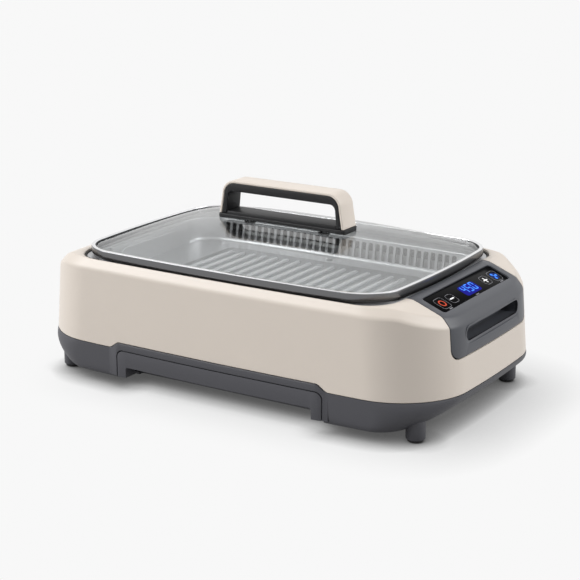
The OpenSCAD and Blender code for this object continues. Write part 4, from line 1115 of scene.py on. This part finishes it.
def arch(half, lean_in, top, r, down=0.0, steps=14):
    """Side view of an arch: legs that lean in, joined by rounded corners, and drawn on down."""
    z = FOOT_TOP + 0.1
    points = [(half, z - down), (half, z)] if down else [(half, z)]
    x = half - lean_in - r
    points += [(x + r * cos(a), top - r + r * sin(a)) for a in np.linspace(0, pi / 2, steps)]
    points += [(-x + r * cos(a), top - r + r * sin(a)) for a in np.linspace(pi / 2, pi, steps)]
    return points + ([(-half, z), (-half, z - down)] if down else [(-half, z)])


def arch_piece(name, outer, inner, hw, cut_hw, edge):
    """An arch with a smaller one cut out of it."""
    piece = prism(name, outer, "y", -hw, hw)
    carve(piece, [prism("cut", inner, "y", -cut_hw, cut_hw)])
    return soften(piece, edge, 3, 50)


def handle_foot(arch_half, step_hw):
    """The foot plate on the glass and the step that fills the arch's foot."""
    h, hw = HANDLE_L / 2, HANDLE_W / 2
    under = [(x, GLASS_EDGE + float(dome(x, 0)) + 0.1) for x in np.linspace(-h, h, 41)]
    foot = prism("handle_foot_plate", under + [(h, FOOT_TOP), (-h, FOOT_TOP)], "y", -hw, hw)
    plan = rounded(-h, -hw, h, hw, HANDLE_R, 8)
    carve(foot, [prism("cut", plan, "z", GLASS_EDGE, FOOT_TOP + 1)], "INTERSECT")
    soften(foot, 0.8, 3, 40)
    rise, x = FOOT_TOP + HANDLE_RISE, arch_half - LEG_T
    step = prism("handle_foot_rise", [
        (-x, FOOT_TOP - 1), (x, FOOT_TOP - 1), (x - 0.4, FOOT_TOP), (x - 0.8, rise), (0.8 - x, rise),
        (0.4 - x, FOOT_TOP)], "y", -step_hw, step_hw)
    soften(step, 0.8, 3, 40)
    return joined("handle_base_moulded", [foot, step])


class GRILL_OT_handle(bpy.types.Operator):
    """Foot plate, arch and cover of the lid's handle"""
    bl_idname = "grill.handle"
    bl_label = "Handle"

    def execute(self, context):
        looks = finishes()
        cap_half, cap_hw = HANDLE_L / 2 - HANDLE_LEDGE, HANDLE_W / 2 - HANDLE_LEDGE
        arch_half, arch_top = cap_half - CAP_T - HANDLE_GAP, HANDLE_TOP - CAP_T - HANDLE_GAP
        foot = handle_foot(arch_half, cap_hw - 0.8)
        finish(foot, "lid", looks["black"], ["handle_base"])
        inner = arch_piece(
            "handle_arch_moulded", arch(arch_half, ARCH_LEAN, arch_top, ARCH_R),
            arch(arch_half - LEG_T, LEG_LEAN, arch_top - ARCH_T, ARCH_R / 2, HANDLE_CUT), cap_hw - 0.4,
            cap_hw + HANDLE_CUT, 1.0)
        finish(inner, "lid", looks["black"], ["handle_arch"])
        cover = arch_piece(
            "handle_cap_moulded", arch(cap_half, CAP_LEAN, HANDLE_TOP, CAP_R),
            arch(arch_half + HANDLE_GAP, ARCH_LEAN, arch_top + HANDLE_GAP, ARCH_R + HANDLE_GAP,
                 HANDLE_CUT), cap_hw, cap_hw + HANDLE_CUT, 0.9)
        finish(cover, "lid", looks["cream"], ["handle_cap"])
        return {"FINISHED"}


# Parts that keep their CAD shape


KEPT = {
    "touch_board": "board", "display_module": "black", "power_board": "board", "board_parts": "black",
    "board_screws": "steel", "power_inlet": "black", "inlet_pins": "brass", "mains_leads": "wire",
    "exhaust_grille": "charcoal", "heat_reflector": "sheet", "reflector_posts": "steel",
    "heating_element": "element", "element_bushings": "ceramic", "element_clips": "steel",
    "heater_leads": "sleeve", "thermal_cutout": "black", "drip_tray": "tray", "drawer_rails": "steel",
    "fan_housing": "black", "fan_wheel": "grey", "fan_motor": "steel", "motor_shaft": "steel",
    "grease_filter": "steel", "foot_pads": "rubber", "base_screws": "steel", "handle_screws": "steel",
    "handle_washers": "rubber"}


class GRILL_OT_inner_parts(bpy.types.Operator):
    """Finishes for the parts that keep their CAD shape"""
    bl_idname = "grill.inner_parts"
    bl_label = "Inner parts"

    def execute(self, context):
        looks = finishes()
        for node, name in KEPT.items():
            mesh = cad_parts[node].data
            mesh.materials.clear()
            mesh.materials.append(looks[name])
        return {"FINISHED"}


# Stage


def seen_or_soft(tree, soft, seen):
    """One shader for the eye and for mirrors, and another for the light that a surface gives back."""
    path = add(tree, "ShaderNodeLightPath", {}).outputs
    either = calculate(tree, "MAXIMUM", path["Is Camera Ray"], path["Is Glossy Ray"])
    return add(tree, "ShaderNodeMixShader", {"Fac": either, 1: soft, 2: seen}).outputs["Shader"]


def pale_surface(name, color, bounce):
    """A floor that shows near white to the eye, with a soft shadow, and throws little light back."""
    material, tree = material_tree(name)
    if tree is None:
        return material
    shader = tree.nodes["Principled BSDF"]
    dull = [c * bounce for c in color]
    feed(tree, shader, {"Base Color": toned(tree, noise(tree, 3), dull, 1, 1.01), "Roughness": 0.9,
                        "Specular IOR Level": 0.0})
    shade = color[0]
    for reach, power, tilt in SHADOWS:
        toward = add(tree, "ShaderNodeCombineXYZ", dict(zip("XYZ", tilt)))
        near = add(tree, "ShaderNodeAmbientOcclusion", {
            "Distance": reach, "Normal": toward.outputs[0]}, samples=16)
        deep = calculate(tree, "POWER", near.outputs["AO"], power)
        shade = calculate(tree, "MULTIPLY", deep, shade)
    glow = add(tree, "ShaderNodeEmission", {"Color": shade})
    feed(tree, tree.nodes["Material Output"], {
        "Surface": seen_or_soft(tree, shader.outputs["BSDF"], glow.outputs["Emission"])})
    return material


def studio_world():
    """A soft sky that shows as the backdrop's tone to the eye."""
    world = bpy.data.worlds.new("studio")
    world.use_nodes = True
    tree = world.node_tree
    tree.nodes.clear()
    soft = add(tree, "ShaderNodeBackground", {"Color": (1, 1, 1, 1), "Strength": SKY})
    seen = add(tree, "ShaderNodeBackground", {"Color": (PALE, PALE, PALE, 1), "Strength": 1.0})
    both = seen_or_soft(tree, soft.outputs["Background"], seen.outputs["Background"])
    add(tree, "ShaderNodeOutputWorld", {"Surface": both})
    return world


class GRILL_OT_stage(bpy.types.Operator):
    """Floor, lights, world and the camera of the photograph"""
    bl_idname = "grill.stage"
    bl_label = "Stage"

    def execute(self, context):
        scene = context.scene
        scene.view_settings.view_transform = "Standard"
        corners = box(-FLOOR_HALF, -FLOOR_HALF, FLOOR_HALF, FLOOR_HALF)
        floor = new_object("floor", [(*p, FLOOR_DROP) for p in corners], [(0, 1, 2, 3)])
        floor.data.materials.append(pale_surface("floor_pale", (PALE, PALE, PALE), FLOOR_BOUNCE))
        scene.world = studio_world()

        for name, way, power in LAMPS:
            lamp = bpy.data.lights.new(name, "SUN")
            lamp.angle = radians(LAMP_ANGLE)
            lamp.energy = power
            obj = linked(name, lamp)
            obj.location = way
            obj.rotation_euler = Vector(way).to_track_quat("Z", "Y").to_euler()

        data = bpy.data.cameras.new("photo_camera")
        data.lens, data.sensor_width = CAMERA_LENS, CAMERA_SENSOR
        data.clip_start, data.clip_end = 0.05, 30
        scene.camera = linked("photo_camera", data)
        scene.camera.location = CAMERA_AT
        scene.camera.rotation_euler = (radians(90 - CAMERA_EL), 0, radians(CAMERA_AZ))
        return {"FINISHED"}


class GRILL_PT_panel(bpy.types.Panel):
    """Lists the grill's pieces and settings"""
    bl_label = "Grill"
    bl_idname = "GRILL_PT_panel"
    bl_space_type = "VIEW_3D"
    bl_region_type = "UI"
    bl_category = "Grill"

    def draw(self, context):
        for group in (context.scene.grill_sizes, context.scene.grill_colors):
            for key in group.bl_rna.properties.keys():
                if key not in ("rna_type", "name"):
                    self.layout.prop(group, key)
        for operator in OPERATORS:
            self.layout.operator(operator.bl_idname)


OPERATORS = (
    GRILL_OT_stage, GRILL_OT_shell, GRILL_OT_base, GRILL_OT_drawer, GRILL_OT_controls,
    GRILL_OT_left_panel, GRILL_OT_support_ring, GRILL_OT_plate, GRILL_OT_lid, GRILL_OT_handle,
    GRILL_OT_inner_parts)
CLASSES = (GrillSizes, GrillColors) + OPERATORS + (GRILL_PT_panel,)


def register():
    for cls in CLASSES:
        bpy.utils.register_class(cls)
    bpy.types.Scene.grill_sizes = PointerProperty(type=GrillSizes)
    bpy.types.Scene.grill_colors = PointerProperty(type=GrillColors)


def unregister():
    del bpy.types.Scene.grill_sizes
    del bpy.types.Scene.grill_colors
    for cls in reversed(CLASSES):
        bpy.utils.unregister_class(cls)


def main():
    register()
    for operator in OPERATORS:
        group, name = operator.bl_idname.split(".")
        getattr(getattr(bpy.ops, group), name)()


if __name__ == "__main__":
    main()
